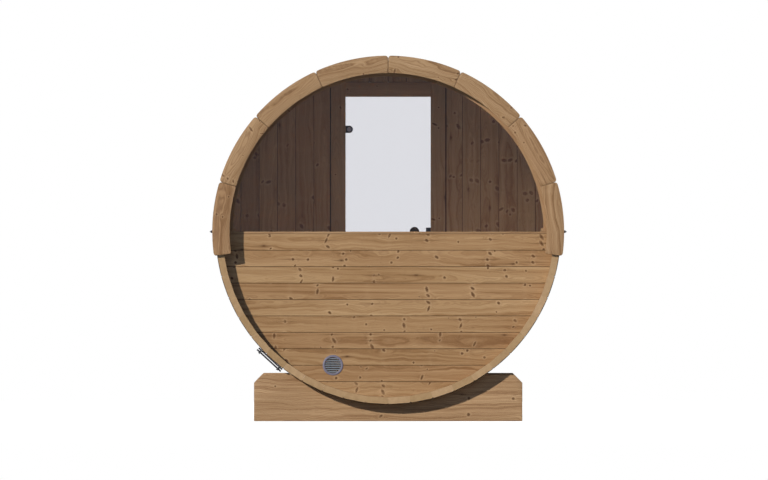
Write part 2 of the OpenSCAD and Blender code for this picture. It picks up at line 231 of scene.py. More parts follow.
slit = step("MULTIPLY", slit, step("MULTIPLY", step("GREATER_THAN", dot_lots[0], 1 - SLIT_SHARE),
                                   has_knots))

# %% [markdown]
# The rings come last. The wood bends round a branch, the pith wanders slowly beside the board and
# leans a little against it, and the distance from it is cut into years. Each year is pale early
# wood that darkens slowly and ends sharply. Wet and dry years make broad streaks that follow the
# rings, and single fibres make a fine one.

# %% Rings, streaks and fibres
RESIN_STREAK = (70 * MM, 3.4 * MM)
pull = step("MULTIPLY", there,
            fade(spot(aside, up, step("MULTIPLY", size, 4.5), step("MULTIPLY", size, 2.6))))
bent = step("SUBTRACT", across, step("MULTIPLY", up, pull))
slowly = step("ShaderNodeCombineXYZ", step("MULTIPLY", far, 3.2), step("MULTIPLY", wide, 7.0),
              step("MULTIPLY", into, 7.0))
sway = add(tree, "ShaderNodeTexNoise",
           {"Vector": slowly, "Scale": 1.0, "Detail": 3.0, "Roughness": 0.55}).outputs[0]
pith_across = step("MULTIPLY_ADD", step("SUBTRACT", own[0], 0.5), 0.12, given["Pith side"])
pith_across = step("MULTIPLY_ADD", step("SUBTRACT", sway, 0.5), given["Wander"], pith_across)
pith_into = step("MULTIPLY_ADD", own[1], 0.06, 0.010)
side, deep = step("SUBTRACT", bent, pith_across), step("ADD", into, pith_into)
ring_far = step("SQRT", step("ADD", step("MULTIPLY", side, side), step("MULTIPLY", deep, deep)))
lean = step("MULTIPLY", step("SUBTRACT", own[2], 0.5), given["Run out"])
run = step("ADD", step("MULTIPLY_ADD", along, lean, ring_far),
           step("MULTIPLY", step("SUBTRACT", sway, 0.5), given["Wander"]))
phase = step("FRACT", step("DIVIDE", run, given["Ring spacing"]))
ring = add(tree, "ShaderNodeValToRGB", {0: phase})
stops = ring.color_ramp.elements
stops[0].position, stops[0].color = 0.0, (0.3, 0.3, 0.3, 1)
stops[1].position, stops[1].color = 1.0, (0.3, 0.3, 0.3, 1)
for position, grey in ((0.12, 0.0), (0.45, 0.1), (0.80, 0.95), (0.9, 1.0)):
    stops.new(position).color = (grey, grey, grey, 1)
years = step("ShaderNodeCombineXYZ", step("MULTIPLY", far, 0.8), step("MULTIPLY", run, 62.0),
             step("MULTIPLY", tone, 40.0))
streak = add(tree, "ShaderNodeTexNoise",
             {"Vector": years, "Scale": 1.0, "Detail": 5.0, "Roughness": 0.66,
              "Distortion": 0.2}).outputs[0]
fibres = step("ShaderNodeCombineXYZ", step("MULTIPLY", far, 18.0), step("MULTIPLY", wide, 900.0),
              step("MULTIPLY", into, 900.0))
fibre = add(tree, "ShaderNodeTexNoise", {"Vector": fibres, "Scale": 1.0, "Detail": 2.0}).outputs[0]
resin = step("MULTIPLY", step("MULTIPLY", there, step("GREATER_THAN", branch[0], 0.6)),
             fade(spot(aside, up, *RESIN_STREAK)))

# %% [markdown]
# A knot, its dark heart and the pale wood round it are three widths of one distance.

# %% Masks
WHORL_BAND = 16 * MM
masks = {"Streak": streak, "Ring": ring.outputs[0], "Resin": resin, "Slit": slit, "Tone": tone,
         "Fibre": fibre, "Band": fade(step("DIVIDE", from_row, WHORL_BAND))}
for name, inner, outer in (("Core", 0.1, 0.75), ("Knot", 0.7, 1.1), ("Halo", 1.0, 2.2)):
    masks[name] = step("ShaderNodeMapRange", near, outer, inner, interpolation_type="SMOOTHSTEP")
for name, value in masks.items():
    tree.links.new(value, shown[name])
GRAIN = tree
print("grain nodes", len(GRAIN.nodes))

# %% [markdown]
# ## Heat-treated pine, planed
# Baking pine in steam turns it honey to coffee brown right through. Planed and left bare, it has
# a soft sheen, dark late wood, nearly black knots and boards that differ in tone. A paint mix of
# the grain's masks gives all of that: two body tones that drift, then rings, wet years, the pale
# wood round a knot, resin, and last the knot with its dark heart. The same function serves every
# bare timber here, and only its colours, ring width and number of knots change.

# %% Planed wood
# How much darker or lighter a board may be than the next, in red, green and blue
BOARD_TONES = ((0.93, 1.05), (0.89, 1.08), (0.87, 1.09))


def planed_pine(name, pale, warm, late, knot_colour, ring_weight=0.28, years=0.55, heart=0.62, **sizes):
    """Bare planed softwood. pale and warm are the two tones it drifts between, late its dark rings,
    and heart says how much darker a knot is in its middle."""
    material, tree, output = new_material(name)
    grain = add(tree, "ShaderNodeGroup", node_tree=GRAIN)
    for key, value in sizes.items():
        grain.inputs[key.replace("_", " ").capitalize()].default_value = value
    see = grain.outputs
    step = partial(first_output, tree)
    tones = [step("ShaderNodeMapRange", see["Tone"], 0.0, 1.0, low, high) for low, high in BOARD_TONES]
    fibre = step("ShaderNodeMapRange", see["Fibre"], 0.3, 0.7, 0.91, 1.08)
    coats = [("MIX", step("ShaderNodeMapRange", see["Streak"], 0.36, 0.62), paint(warm)),
             ("MIX", step("MULTIPLY", see["Ring"], ring_weight), paint(late)),
             ("MIX", step("ShaderNodeMapRange", see["Streak"], 0.56, 0.74, 0.0, years), paint(late)),
             ("MULTIPLY", 1.0, step("ShaderNodeCombineColor", *tones)),
             ("MULTIPLY", 1.0, step("ShaderNodeCombineColor", fibre, fibre, fibre))]
    for mask, share, colour in (
            ("Band", 0.07, "BFA07C"), ("Halo", 0.34, "C0A07A"), ("Resin", 0.55, knot_colour),
            ("Slit", 0.95, "4E2E18"), ("Knot", 0.80, knot_colour), ("Core", heart, "432816")):
        coats.append(("MIX", step("MULTIPLY", see[mask], share), paint(colour)))
    body = paint(pale)
    for blend, share, colour in coats:
        body = add(tree, "ShaderNodeMix", {"Factor": share, 6: body, 7: colour}, data_type="RGBA",
                   blend_type=blend).outputs[2]

    relief = step("MULTIPLY_ADD", see["Ring"], 0.5, see["Fibre"])
    bump = add(tree, "ShaderNodeBump", {"Height": relief, "Strength": 0.35, "Distance": 0.4 * MM})
    shader = add(tree, "ShaderNodeBsdfPrincipled", {
        "Base Color": body, "Roughness": step("ShaderNodeMapRange", see["Ring"], 0.0, 1.0, 0.67, 0.55),
        "IOR": 1.45, "Specular IOR Level": 0.3, "Normal": bump.outputs[0]})
    tree.links.new(shader.outputs[0], output.inputs[0])
    return material


# Wall boards are plain-sawn from small logs, so the eye meets many knots and calm streaks.
WALL_PINE = planed_pine("heat_treated_pine_planed", "B89770", "98744E", "6D4828", "5C381C", years=0.62,
                        knot_size=9.5 * MM, knot_share=0.6, dot_share=0.38)
# The boards round the door come from older trees: half as many knots, larger and softer ones.
DOOR_WALL_PINE = planed_pine("heat_treated_pine_door_wall", "AF8C68", "947150", "6A482E", "6A4832",
                             years=0.62, heart=0.3,
                             knot_size=13 * MM, knot_share=0.42, dot_share=0.16)
# Staves are the same wood a shade greyer, picked for fewer knots.
SHELL_PINE = planed_pine("heat_treated_pine_staves", "A98763", "977351", "6E4D33", "664226",
                         knot_share=0.5)
# Wide old planks, cut to a curve with a band saw: bold flames of grain that run out at the edge.
FASCIA_PINE = planed_pine("heat_treated_pine_band_sawn", "B59471", "9A7855", "684427", "5F3A20",
                          ring_weight=0.5, years=0.7,
                          ring_spacing=6 * MM, whorl_spacing=290 * MM, knot_share=0.4, run_out=0.07,
                          wander=0.045, pith_side=0.05)
# Clear joinery wood for frames, nearly free of knots, so a post reads as one straight length.
FRAME_PINE = planed_pine("heat_treated_pine_clear", "AB8966", "987554", "6A4A30", "664226",
                         knot_share=0.35)
# Heavy beam wood, paler, with wide rings nearly parallel to its length and a rare large knot.
SADDLE_PINE = planed_pine("heat_treated_pine_beam", "BA9975", "9D7B59", "6C472A", "57351D",
                          ring_weight=0.5, years=0.85,
                          ring_spacing=8 * MM, whorl_spacing=620 * MM, knot_size=14 * MM, knot_share=0.22,
                          run_out=0.012, wander=0.03, pith_side=0.24)
# Painted shade: pine where two eased edges meet, drawn nearly as dark since light hardly gets in.
JOINT_SHADE_PINE = planed_pine("heat_treated_pine_groove", "5A422E", "4A3524", "3A2718", "2E1E12",
                          knot_share=0.0)
print("woods", [m.name for m in (WALL_PINE, DOOR_WALL_PINE, SHELL_PINE, FASCIA_PINE, FRAME_PINE,
                                 SADDLE_PINE, JOINT_SHADE_PINE)])

# %% [markdown]
# ## Sawn end grain
# The ends of the staves are cut across the tree. A saw leaves them paler and rougher, with the
# rings as arcs and faint parallel tooth marks. Each stave came from another log, so its end has
# a tone of its own, and that is what lets the eye count the staves on the rim.

# %% End grain
END_TONES = ((0.86, 1.10), (0.85, 1.12), (0.78, 1.18))


def sawn_end(name, pale, late):
    """End grain: ring arcs from the same board coordinates, and tooth marks."""
    material, tree, output = new_material(name)
    grain = add(tree, "ShaderNodeGroup", node_tree=GRAIN)
    grain.inputs["Ring spacing"].default_value = 4.5 * MM
    step = partial(first_output, tree)
    place_on = add(tree, "ShaderNodeTexCoord").outputs["Object"]
    teeth = add(tree, "ShaderNodeTexWave",
                {"Vector": place_on, "Scale": 60.0, "Distortion": 1.5, "Detail": 1.0},
                bands_direction="DIAGONAL")
    blotch = add(tree, "ShaderNodeTexNoise", {"Vector": place_on, "Scale": 45.0, "Detail": 4.0})
    tone = grain.outputs["Tone"]
    own = [step("ShaderNodeMapRange", tone, 0.0, 1.0, low, high) for low, high in END_TONES]
    body = paint(pale)
    for blend, share, colour in (
            ("MIX", step("MULTIPLY", grain.outputs["Ring"], 0.34), paint(late)),
            ("MIX", step("ShaderNodeMapRange", blotch.outputs[0], 0.35, 0.75, 0.0, 0.35), paint(late)),
            ("MULTIPLY", 1.0, step("ShaderNodeCombineColor", *own))):
        body = add(tree, "ShaderNodeMix", {"Factor": share, 6: body, 7: colour}, data_type="RGBA",
                   blend_type=blend).outputs[2]
    bump = add(tree, "ShaderNodeBump",
               {"Height": teeth.outputs["Fac"], "Strength": 0.25, "Distance": 0.4 * MM})
    shader = add(tree, "ShaderNodeBsdfPrincipled",
                 {"Base Color": body, "Roughness": 0.85, "Normal": bump.outputs[0]})
    tree.links.new(shader.outputs[0], output.inputs[0])
    return material


# Fresh saw cuts, paler than the planed faces. The ends of the curved boards, where they meet, are
# painted dull and dark as the shade in their joints.
END_PINE = sawn_end("heat_treated_pine_sawn_end", "B59672", "8A6946")
JOINT_SHADE_END_PINE = sawn_end("heat_treated_pine_end_weathered", "86684A", "5F4730")

# %% [markdown]
# ## Boards as meshes
# Every wooden piece starts as boards. A board is drawn in its own coordinates, along, across and
# into, and laid in place by a matrix, so the same numbers serve for its shape and for its grain.
# Its edges are eased with a bevel, because a hand and a planer never leave a knife edge, and the
# two eased edges of neighbours make the fine V that shows each joint.

# %% Helpers for boards
def ease_edges(bm, width, least=25, segments=1, choose=None):
    """Bevels the edges whose faces turn by more than an angle."""
    edges = [e for e in bm.edges if e.is_manifold and e.calc_face_angle(0) > math.radians(least)
             and (choose is None or choose(e))]
    bmesh.ops.bevel(bm, geom=edges, offset=width, segments=segments, profile=0.5, affect="EDGES",
                    clamp_overlap=True)


def grown(bm, read, tone):
    """Writes the board coordinates, which read() works out from a vertex's place, and the
    board's tone, unless a tree gives it later."""
    board = bm.verts.layers.float_vector.new("board")
    for vertex in bm.verts:
        vertex[board] = read(vertex.co)
    if tone is not None:
        shade = bm.verts.layers.float.new("tone")
        for vertex in bm.verts:
            vertex[shade] = tone
    return bm


def bridge(bm, pairs):
    """Joins pairs of point loops by faces. A loop may be a single point, where a shape closes."""
    for a, b in pairs:
        for k in range(max(len(a), len(b))):
            corners = [a[k % len(a)], a[(k + 1) % len(a)], b[(k + 1) % len(b)], b[k % len(b)]]
            corners = [c for n, c in enumerate(corners) if c not in corners[:n]]
            if len(corners) > 2:
                bm.faces.new(corners)


def turned_outwards(bm, lay=Matrix()):
    """The finished shape, laid in place, with every face pointing out."""
    bm.transform(lay)
    bmesh.ops.recalc_face_normals(bm, faces=bm.faces)
    return bm


def prism(outline, low, high):
    """A flat outline (along, across) given a thickness from low to high."""
    bm = bmesh.new()
    ends = [[bm.verts.new((u, v, w)) for u, v in outline] for w in (low, high)]
    bm.faces.new(ends[1])
    bm.faces.new(ends[0][::-1])
    bridge(bm, [ends])
    return turned_outwards(bm)


def plank(outline, low, high, lay, tone, ease=1.4 * MM, middle=(0, 0)):
    """One eased board. lay turns board coordinates into the frame, and middle is where its
    grain is centred."""
    bm = prism(outline, low, high)
    ease_edges(bm, ease)
    # Eased faces take the second material; on the walls that is the dark groove pine, painted shade.
    for face in bm.faces:
        face.material_index = int(0.3 < abs(face.normal.z) < 0.95)
    grown(bm, lambda co: (co.x - middle[0], co.y - middle[1], co.z - low), tone)
    return turned_outwards(bm, lay)


def mesh_object(name, parts, *materials, sharp=30):
    """Joins meshes in progress into one object, smooth but for the edges that turn sharply."""
    mesh = bpy.data.meshes.new(name)
    joined = bmesh.new()
    for part in parts:
        piece = bpy.data.meshes.new("part")
        part.to_mesh(piece)
        joined.from_mesh(piece)
        part.free()
        bpy.data.meshes.remove(piece)
    joined.to_mesh(mesh)
    joined.free()
    for material in materials:
        mesh.materials.append(material)
    finish_mesh(mesh, sharp)
    made = bpy.data.objects.new(name, mesh)
    bpy.context.scene.collection.objects.link(made)
    return made


def finish_mesh(mesh, sharp=30):
    """Smooth shading, split where two faces turn by more than an angle."""
    mesh.polygons.foreach_set("use_smooth", [True] * len(mesh.polygons))
    mesh.set_sharp_from_angle(angle=math.radians(sharp))


def place(piece, body, slot, *nodes):
    """Says which body a piece rides on and which CAD nodes it stands for. Its slot is not used."""
    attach(piece, body)
    if nodes:
        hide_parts(*nodes)
    low, high = (Vector(c) for c in (piece.bound_box[0], piece.bound_box[6]))
    print(piece.name, "faces", len(piece.data.polygons), "size", [round(x, 3) for x in high - low])
    return piece

# %% [markdown]
# ## A ring of boards, as a geometry tree
# Staves, the curved boards on the barrel's ends and the window's arch are all one board repeated
# round the barrel's axis. They could be copied in a loop, but one tree does all three. It sets
# points on the axis, puts the board on each with its turn, and gives each its own tone from a
# fixed seed. It ends by making the copies real and giving them their wood, then a second wood on
# the faces marked as sawn ends and a third on the eased edges, dark as painted shade for the
# shadow each joint lies in.

# %% The ring tree
def tree_inputs(tree, shape, given, result):
    """Declares a tree's inputs, the first a mesh, and its one result."""
    tree.is_modifier = True
    tree.interface.new_socket(shape, in_out="INPUT", socket_type="NodeSocketGeometry")
    for name, kind in given.items():
        tree.interface.new_socket(name, in_out="INPUT", socket_type="NodeSocket" + kind)
    tree.interface.new_socket(result, in_out="OUTPUT", socket_type="NodeSocketGeometry")
    return add(tree, "NodeGroupInput").outputs, add(tree, "NodeGroupOutput").inputs


def ring_tree():
    tree = bpy.data.node_groups.new("ring_of_boards", "GeometryNodeTree")
    given, shown = tree_inputs(tree, "Board", {
        "Count": "Int", "First angle": "Float", "Step": "Float", "Axis height": "Float",
        "Seed": "Int", "Wood": "Material", "End wood": "Material", "Groove wood": "Material"}, "Ring")
    start = add(tree, "ShaderNodeCombineXYZ", {2: given["Axis height"]}).outputs[0]
    points = add(tree, "GeometryNodeMeshLine",
                 {"Count": given["Count"], "Start Location": start, "Offset": (0, 0, 0)}).outputs[0]
    index = add(tree, "GeometryNodeInputIndex").outputs[0]
    angle = add(tree, "ShaderNodeMath", {0: index, 1: given["Step"], 2: given["First angle"]},
                operation="MULTIPLY_ADD").outputs[0]
    turned = add(tree, "ShaderNodeMath", {0: angle, 1: -1.0}, operation="MULTIPLY").outputs[0]
    turn = add(tree, "FunctionNodeEulerToRotation",
               {0: add(tree, "ShaderNodeCombineXYZ", {1: turned}).outputs[0]}).outputs[0]
    copies = add(tree, "GeometryNodeInstanceOnPoints",
                 {"Points": points, "Instance": given["Board"], "Rotation": turn}).outputs[0]
    chance = add(tree, "FunctionNodeRandomValue", {"ID": index, "Seed": given["Seed"]}, data_type="FLOAT")
    toned = add(tree, "GeometryNodeStoreNamedAttribute", {"Geometry": copies, "Name": "tone"},
                data_type="FLOAT", domain="INSTANCE")
    tree.links.new(next(o for o in chance.outputs if o.enabled),
                   next(s for s in toned.inputs if s.name == "Value" and s.enabled))
    real = add(tree, "GeometryNodeRealizeInstances", {0: toned.outputs[0]}).outputs[0]
    wooden = add(tree, "GeometryNodeSetMaterial",
                 {"Geometry": real, "Material": given["Wood"]}).outputs[0]
    for mark, wood in (("sawn", "End wood"), ("groove", "Groove wood")):
        marked = add(tree, "GeometryNodeInputNamedAttribute", {"Name": mark}, data_type="BOOLEAN")
        is_marked = next(o for o in marked.outputs if o.enabled and o.name == "Attribute")
        wooden = add(tree, "GeometryNodeSetMaterial",
                     {"Geometry": wooden, "Selection": is_marked, "Material": given[wood]}).outputs[0]
    tree.links.new(wooden, shown[0])
    return tree


def grow(piece, tree, settings):
    """Runs a geometry tree on a piece and keeps the result as its plain mesh."""
    modifier = piece.modifiers.new("tree", "NODES")
    modifier.node_group = tree
    for item in tree.interface.items_tree:
        if item.in_out == "INPUT" and item.name in settings:
            modifier[item.identifier] = settings[item.name]
    graph = bpy.context.evaluated_depsgraph_get()
    mesh = bpy.data.meshes.new_from_object(piece.evaluated_get(graph), preserve_all_data_layers=True,
                                           depsgraph=graph)
    piece.modifiers.clear()
    piece.data = mesh
    mesh.name = piece.name
    finish_mesh(mesh)
    return piece


def mark(bm, name, chosen):
    """Marks the faces a rule picks by their normal."""
    layer = bm.faces.layers.bool.new(name)
    for face in bm.faces:
        face[layer] = chosen(face.normal)


RING = ring_tree()
print("ring tree nodes", len(RING.nodes))

# %% [markdown]
# ## The staves
# Forty-eight planed staves make the shell. Each one's sides lean in by half a step of the ring,
# its outer edges are bevelled, and a groove near each end holds an end wall. The side view is
# drawn as an outline with its two grooves and pulled out across, and the sides are then leant
# in, which keeps every face flat.

# %% Make the staves
STEP = 2 * math.pi / STAVE_COUNT
JOINT_PLAY = 0.12 * MM
OUTER_BEVEL, OUTER_RIM = 5.5 * MM, 7 * MM


def stave():
    """One stave at the bottom of the ring, its middle on the barrel's axis."""
    grooves = [(wall[0][1] - GROOVE_PLAY, wall[1][1] + GROOVE_PLAY) for wall in (WINDOW_WALL, DOOR_WALL)]
    inner, deep = -INNER_R, -(WALL_R + GROOVE_PLAY)
    side = [(-STAVE_END, -STAVE_R), (STAVE_END, -STAVE_R), (STAVE_END, inner)]
    for low, high in grooves[::-1]:
        side += [(high, inner), (high, deep), (low, deep), (low, inner)]
    side.append((-STAVE_END, inner))
    bm = prism(side, -1, 1)
    for vertex in bm.verts:
        along, up, hand = vertex.co
        vertex.co = (hand * (-up * math.tan(STEP / 2) - JOINT_PLAY), along, up)
    turned_outwards(bm)

    def outside(v):
        return v.co.z < -STAVE_R + OUTER_RIM

    def on_face(v):
        return abs(v.co.z + STAVE_R) < MM

    def at_end(v):
        return abs(abs(v.co.y) - STAVE_END) < MM

    def in_groove(v):
        return v.co.z < inner - 2 * MM

    ease_edges(bm, OUTER_BEVEL, choose=lambda e: all(map(on_face, e.verts)) and e.calc_length() > 1)
    ease_edges(bm, 0.9 * MM, least=50,
               choose=lambda e: not any(map(outside, e.verts)) and not all(map(in_groove, e.verts)))
    ease_edges(bm, 1.0 * MM, least=60,
               choose=lambda e: all(at_end(v) and not outside(v) for v in e.verts))
    ease_edges(bm, 2.6 * MM, least=60, choose=lambda e: all(at_end(v) and outside(v) for v in e.verts))
    grown(bm, lambda co: (co.y, co.x, -co.z - INNER_R), None)
    mark(bm, "sawn", lambda n: abs(n.y) > 0.9)
    # The outer bevels between staves take the dark groove pine: painted shade in the V where they meet.
    mark(bm, "groove", lambda n: -0.95 < n.z < -0.3)
    return bm


staves = mesh_object("staves", [stave()])
grow(staves, RING, {"Count": STAVE_COUNT, "First angle": STEP / 2, "Step": STEP, "Axis height": AXIS_Z,
                    "Seed": 4, "Wood": SHELL_PINE, "End wood": END_PINE, "Groove wood": JOINT_SHADE_PINE})
place(staves, "barrel", "stave_wood", *[f"staves_{n:02d}" for n in range(1, 13)])

# %% [markdown]
# ## The curved boards on the ends
# Eight boards, sawn to a curve from wide planks, cap each end of the shell from a little below
# the middle up and over. Their grain stays straight along the chord, which is why it runs out at
# the curved edges. Each is a flat section swept through its angle, with rounded outer corners
# and an eased front.

# %% Make the curved boards
FASCIA_COUNT = 8
FASCIA_STEP = math.radians(24.5)
FASCIA_GAP = 0.7 * MM
OUTER_CORNER, INNER_CORNER = 17 * MM, 9 * MM


def swept(profile, half_angle, sections):
    """A closed outline of radius and place on Y, swept about the axis and centred on straight down."""
    bm = bmesh.new()
    loops = []
    for n in range(sections + 1):
        t = half_angle * (2 * n / sections - 1)
        loops.append([bm.verts.new((r * math.sin(t), y, -r * math.cos(t))) for r, y in profile])
    bridge(bm, zip(loops, loops[1:]))
    bm.faces.new(loops[0])
    bm.faces.new(loops[-1][::-1])
    return turned_outwards(bm)


def curved_board(y):
    """One board of the ring, lying at the bottom."""
    half = FASCIA_STEP / 2 - FASCIA_GAP / 2 / FASCIA_R
    low, high = FASCIA_R - FASCIA_W, FASCIA_R
    bm = swept([(low, y[0]), (high, y[0]), (high, y[1]), (low, y[1])], half, 14)

    def corner(e):
        """An edge that runs straight through the board's thickness, at one of its ends."""
        a, b = (v.co for v in e.verts)
        return (abs(a.x - b.x) < 1e-5 and abs(abs(a.y - b.y) - (y[1] - y[0])) < 1e-5
                and e.calc_face_angle(0) > 0.8)

    def outer(e):
        return corner(e) and abs(e.verts[0].co.xz.length - high) < MM

    for chosen, width, segments in ((outer, OUTER_CORNER, 6), (corner, INNER_CORNER, 4)):
        bmesh.ops.bevel(bm, geom=[e for e in bm.edges if chosen(e)], offset=width, segments=segments,
                        profile=0.5, affect="EDGES")
    ease_edges(bm, 2.2 * MM, least=40, segments=2)
    middle = (low + high) / 2
    grown(bm, lambda co: (co.x, -co.z - middle, co.y - y[0]), None)
    # Ends and the eased edges beside them take the dark end wood: painted shade in the joints.
    mark(bm, "sawn", lambda n: abs(n.x) > 0.3)
    mark(bm, "groove", lambda n: False)
    return bm


for end, seed in (("window", 11), ("door", 23)):
    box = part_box(end + "_end_fascia")
    ring = mesh_object(end + "_end_ring_boards", [curved_board((box[0][1], box[1][1]))])
    grow(ring, RING, {"Count": FASCIA_COUNT,
                      "First angle": math.pi - FASCIA_STEP * (FASCIA_COUNT - 1) / 2, "Step": FASCIA_STEP,
                      "Axis height": AXIS_Z, "Seed": seed, "Wood": FASCIA_PINE, "End wood": JOINT_SHADE_END_PINE,
                      "Groove wood": JOINT_SHADE_PINE})
    place(ring, "barrel", "wall_wood", end + "_end_fascia")

# %% [markdown]
# ## The window's arch
# The half-moon pane stands in a curved frame let into the staves, made of five short segments
# with a groove for the glass. A small block at each foot closes the corner on the sill.

# %% Make the arch
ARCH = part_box("window_arch")
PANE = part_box("window_glass")
ARCH_R = PANE[1][0] - 8 * MM
ARCH_SEGMENTS = 5
ARCH_STEP = math.pi / ARCH_SEGMENTS
slot_y = (PANE[0][1] - 0.5 * MM, PANE[1][1] + 0.5 * MM)
slot_r = PANE[1][0] + 0.5 * MM


def arch_segment():
    profile = [(ARCH_R, ARCH[0][1]), (WALL_R, ARCH[0][1]), (WALL_R, ARCH[1][1]), (ARCH_R, ARCH[1][1]),
               (ARCH_R, slot_y[1]), (slot_r, slot_y[1]), (slot_r, slot_y[0]), (ARCH_R, slot_y[0])]
    bm = swept(profile, ARCH_STEP / 2 - 0.15 * MM, 16)
    ease_edges(bm, 1.0 * MM, least=50)
    middle = (ARCH_R + WALL_R) / 2
    grown(bm, lambda co: (co.x, -co.z - middle, co.y - ARCH[0][1]), None)
    mark(bm, "sawn", lambda n: False)
    # The ends where two segments meet take the dark groove pine: painted shade in the joint.
    mark(bm, "groove", lambda n: abs(n.x) > 0.9)
    return bm


arch = mesh_object("window_arch_segments", [arch_segment()])
grow(arch, RING, {"Count": ARCH_SEGMENTS, "First angle": math.pi / 2 + ARCH_STEP / 2, "Step": ARCH_STEP,
                  "Axis height": AXIS_Z, "Seed": 31, "Wood": FRAME_PINE, "End wood": END_PINE,
                  "Groove wood": JOINT_SHADE_PINE})
place(arch, "barrel", "frame_wood", "window_arch")

BLOCK_LAP, BLOCK_W, BLOCK_H, SEAT = 2 * MM, 18 * MM, 20 * MM, 0.1 * MM
block_far = ARCH_R + BLOCK_LAP
stand = Matrix(((0, 1, 0, 0), (0, 0, 1, 0), (1, 0, 0, AXIS_Z), (0, 0, 0, 1)))
blocks = []
for hand in (-1, 1):
    left, right = sorted((hand * (block_far - BLOCK_W), hand * block_far))
    outline = [(SEAT, left), (BLOCK_H, left), (BLOCK_H, right), (SEAT, right)]
    blocks.append(plank(outline, ARCH[0][1], slot_y[0] - 0.5 * MM, stand, 0.8, 1.2 * MM, (0, left)))
place(mesh_object("window_corner_blocks", blocks, FRAME_PINE, FRAME_PINE), "barrel", "frame_wood")

# %% [markdown]
# ## The boarded walls
# Tongued boards lie across under the window and stand upright round the door. Each is cut to the
# round of its groove, so its ends are drawn with the circle. The vent's hole sits on a joint,
# and the two boards that meet there each lose half of it. Beside the door's posts the wall is
# set back by a few millimetres: a strip of tongue shows there, all in the dark groove pine as
# painted shade, so it reads as a dark line.

# %% Make the wall under the window
PITCH = 96 * MM
TIGHT = 0.01 * MM
BOARD_EASE = 1.6 * MM
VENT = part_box("vent_grille")
VENT_X = (VENT[0][0] + VENT[1][0]) / 2
VENT_Z = (VENT[0][2] + VENT[1][2]) / 2 - AXIS_Z
VENT_R = (VENT[1][0] - VENT[0][0]) / 2
VENT_LIP = 11 * MM
HOLE_R = VENT_R - VENT_LIP


def edge_at(z):
    """Half the width of a round wall at a height."""
    return math.sqrt(max(WALL_R * WALL_R - z * z, 0))


def steps(low, high, count):
    return [low + (high - low) * n / count for n in range(count + 1)]


def hole_edge(up):
    """Half of the vent's hole, from left to right, above or below its middle."""
    turns = [math.pi * n / 20 for n in range(21)]
    return [(VENT_X - HOLE_R * math.cos(t), VENT_Z + up * HOLE_R * math.sin(t)) for t in turns]


across_wall = Matrix(((1, 0, 0, 0), (0, 0, 1, 0), (0, 1, 0, AXIS_Z), (0, 0, 0, 1)))
top = WINDOW_WALL[1][2] - AXIS_Z
joints = [top] + [VENT_Z + PITCH * n for n in range(7, -3, -1)]
joints = [z for z in joints if z > -WALL_R + 40 * MM and z <= top] + [-WALL_R]
draw = random.Random(7)
boards = []
for high, low in zip(joints, joints[1:]):
    high_in, low_in = high - TIGHT, low + TIGHT
    heights = steps(high_in, low_in, 8)
    right = [(edge_at(z), z) for z in heights]
    left = [(-x, z) for x, z in right[::-1]]
    if low == joints[-1]:
        right, left = right[:-1] + [(0, low)], left[1:]
    upper = hole_edge(-1) if abs(high - VENT_Z) < MM else []
    lower = hole_edge(1)[::-1] if abs(low - VENT_Z) < MM else []
    outline = upper + right + lower + left
    boards.append(plank(outline, WINDOW_WALL[0][1], WINDOW_WALL[1][1], across_wall, draw.random(),
                        BOARD_EASE, (0, (high + low) / 2)))
window_wall = mesh_object("window_wall_boards", boards, WALL_PINE, JOINT_SHADE_PINE)
place(window_wall, "barrel", "wall_wood", "window_end_wall")
print("wall joints below the axis, mm", [round(-z * 1000) for z in joints])

# %% Make the wall round the door
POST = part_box("door_post_hinge_side")
FRAME_X = -POST[0][0]
FRAME_Z = (POST[1][2] - POST[0][2]) / 2
DOOR_PITCH = 108.3 * MM
FIRST_JOINT = 441 * MM


def upright_board(low, high, bottom, top, tone):
    """One standing board from x low to x high, between a bottom and a top that depend on x."""
    low, high = low + TIGHT, high - TIGHT
    xs = steps(low, high, 8)
    outline = [(bottom(x), x) for x in xs] + [(top(x), x) for x in xs[::-1]]
    outline = [p for n, p in enumerate(outline) if (Vector(p) - Vector(outline[n - 1])).length > 1e-5]
    return plank(outline, DOOR_WALL[0][1], DOOR_WALL[1][1], stand, tone, BOARD_EASE,
                 (0, (low + high) / 2))


SHADOW_GAP = 6 * MM
TONGUE_BACK, TONGUE_FRONT = 14 * MM, 8 * MM
door_walls = {}
side_joints = [FRAME_X + SHADOW_GAP] + [FIRST_JOINT + DOOR_PITCH * n for n in range(5)] + [WALL_R]
for hand, name in ((-1, "left"), (1, "right")):
    boards = []
    for near, far in zip(side_joints, side_joints[1:]):
        low, high = sorted((hand * near, hand * far))
        boards.append(upright_board(low, high, lambda x: -edge_at(x), edge_at, draw.random()))
    low, high = sorted((hand * FRAME_X, hand * (FRAME_X + SHADOW_GAP)))
    reach = edge_at(FRAME_X + SHADOW_GAP)
    tongue = plank([(-reach, low), (-reach, high), (reach, high), (reach, low)],
                   DOOR_WALL[0][1] + TONGUE_BACK, DOOR_WALL[1][1] - TONGUE_FRONT,
                   stand, 0.2, 0.2 * MM, (0, (low + high) / 2))
    # Every face of the tongue strip takes the dark groove pine: painted shade.
    for face in tongue.faces:
        face.material_index = 1
    boards.append(tongue)
    door_walls[name] = boards
short_joints = [-FRAME_X] + [DOOR_PITCH * n for n in range(-2, 3)] + [FRAME_X]
for name, bottom, top_edge in (("above", lambda x: FRAME_Z, edge_at),
                               ("below", lambda x: -edge_at(x), lambda x: -FRAME_Z)):
    door_walls[name] = [upright_board(a, b, bottom, top_edge, draw.random())
                        for a, b in zip(short_joints, short_joints[1:])]
for name, boards in door_walls.items():
    piece = mesh_object(f"door_wall_{name}_boards", boards, DOOR_WALL_PINE, JOINT_SHADE_PINE)
    place(piece, "barrel", "wall_wood", "door_wall_" + name)

# %% [markdown]
# ## Solid timbers
# The sill, the door's frame and the two cradles are single timbers whose shape the frame has
# already. Their loose triangles are merged on a copy, the flat ones are joined to whole faces,
# and the edges are eased. All that is left to say is which way the grain runs.

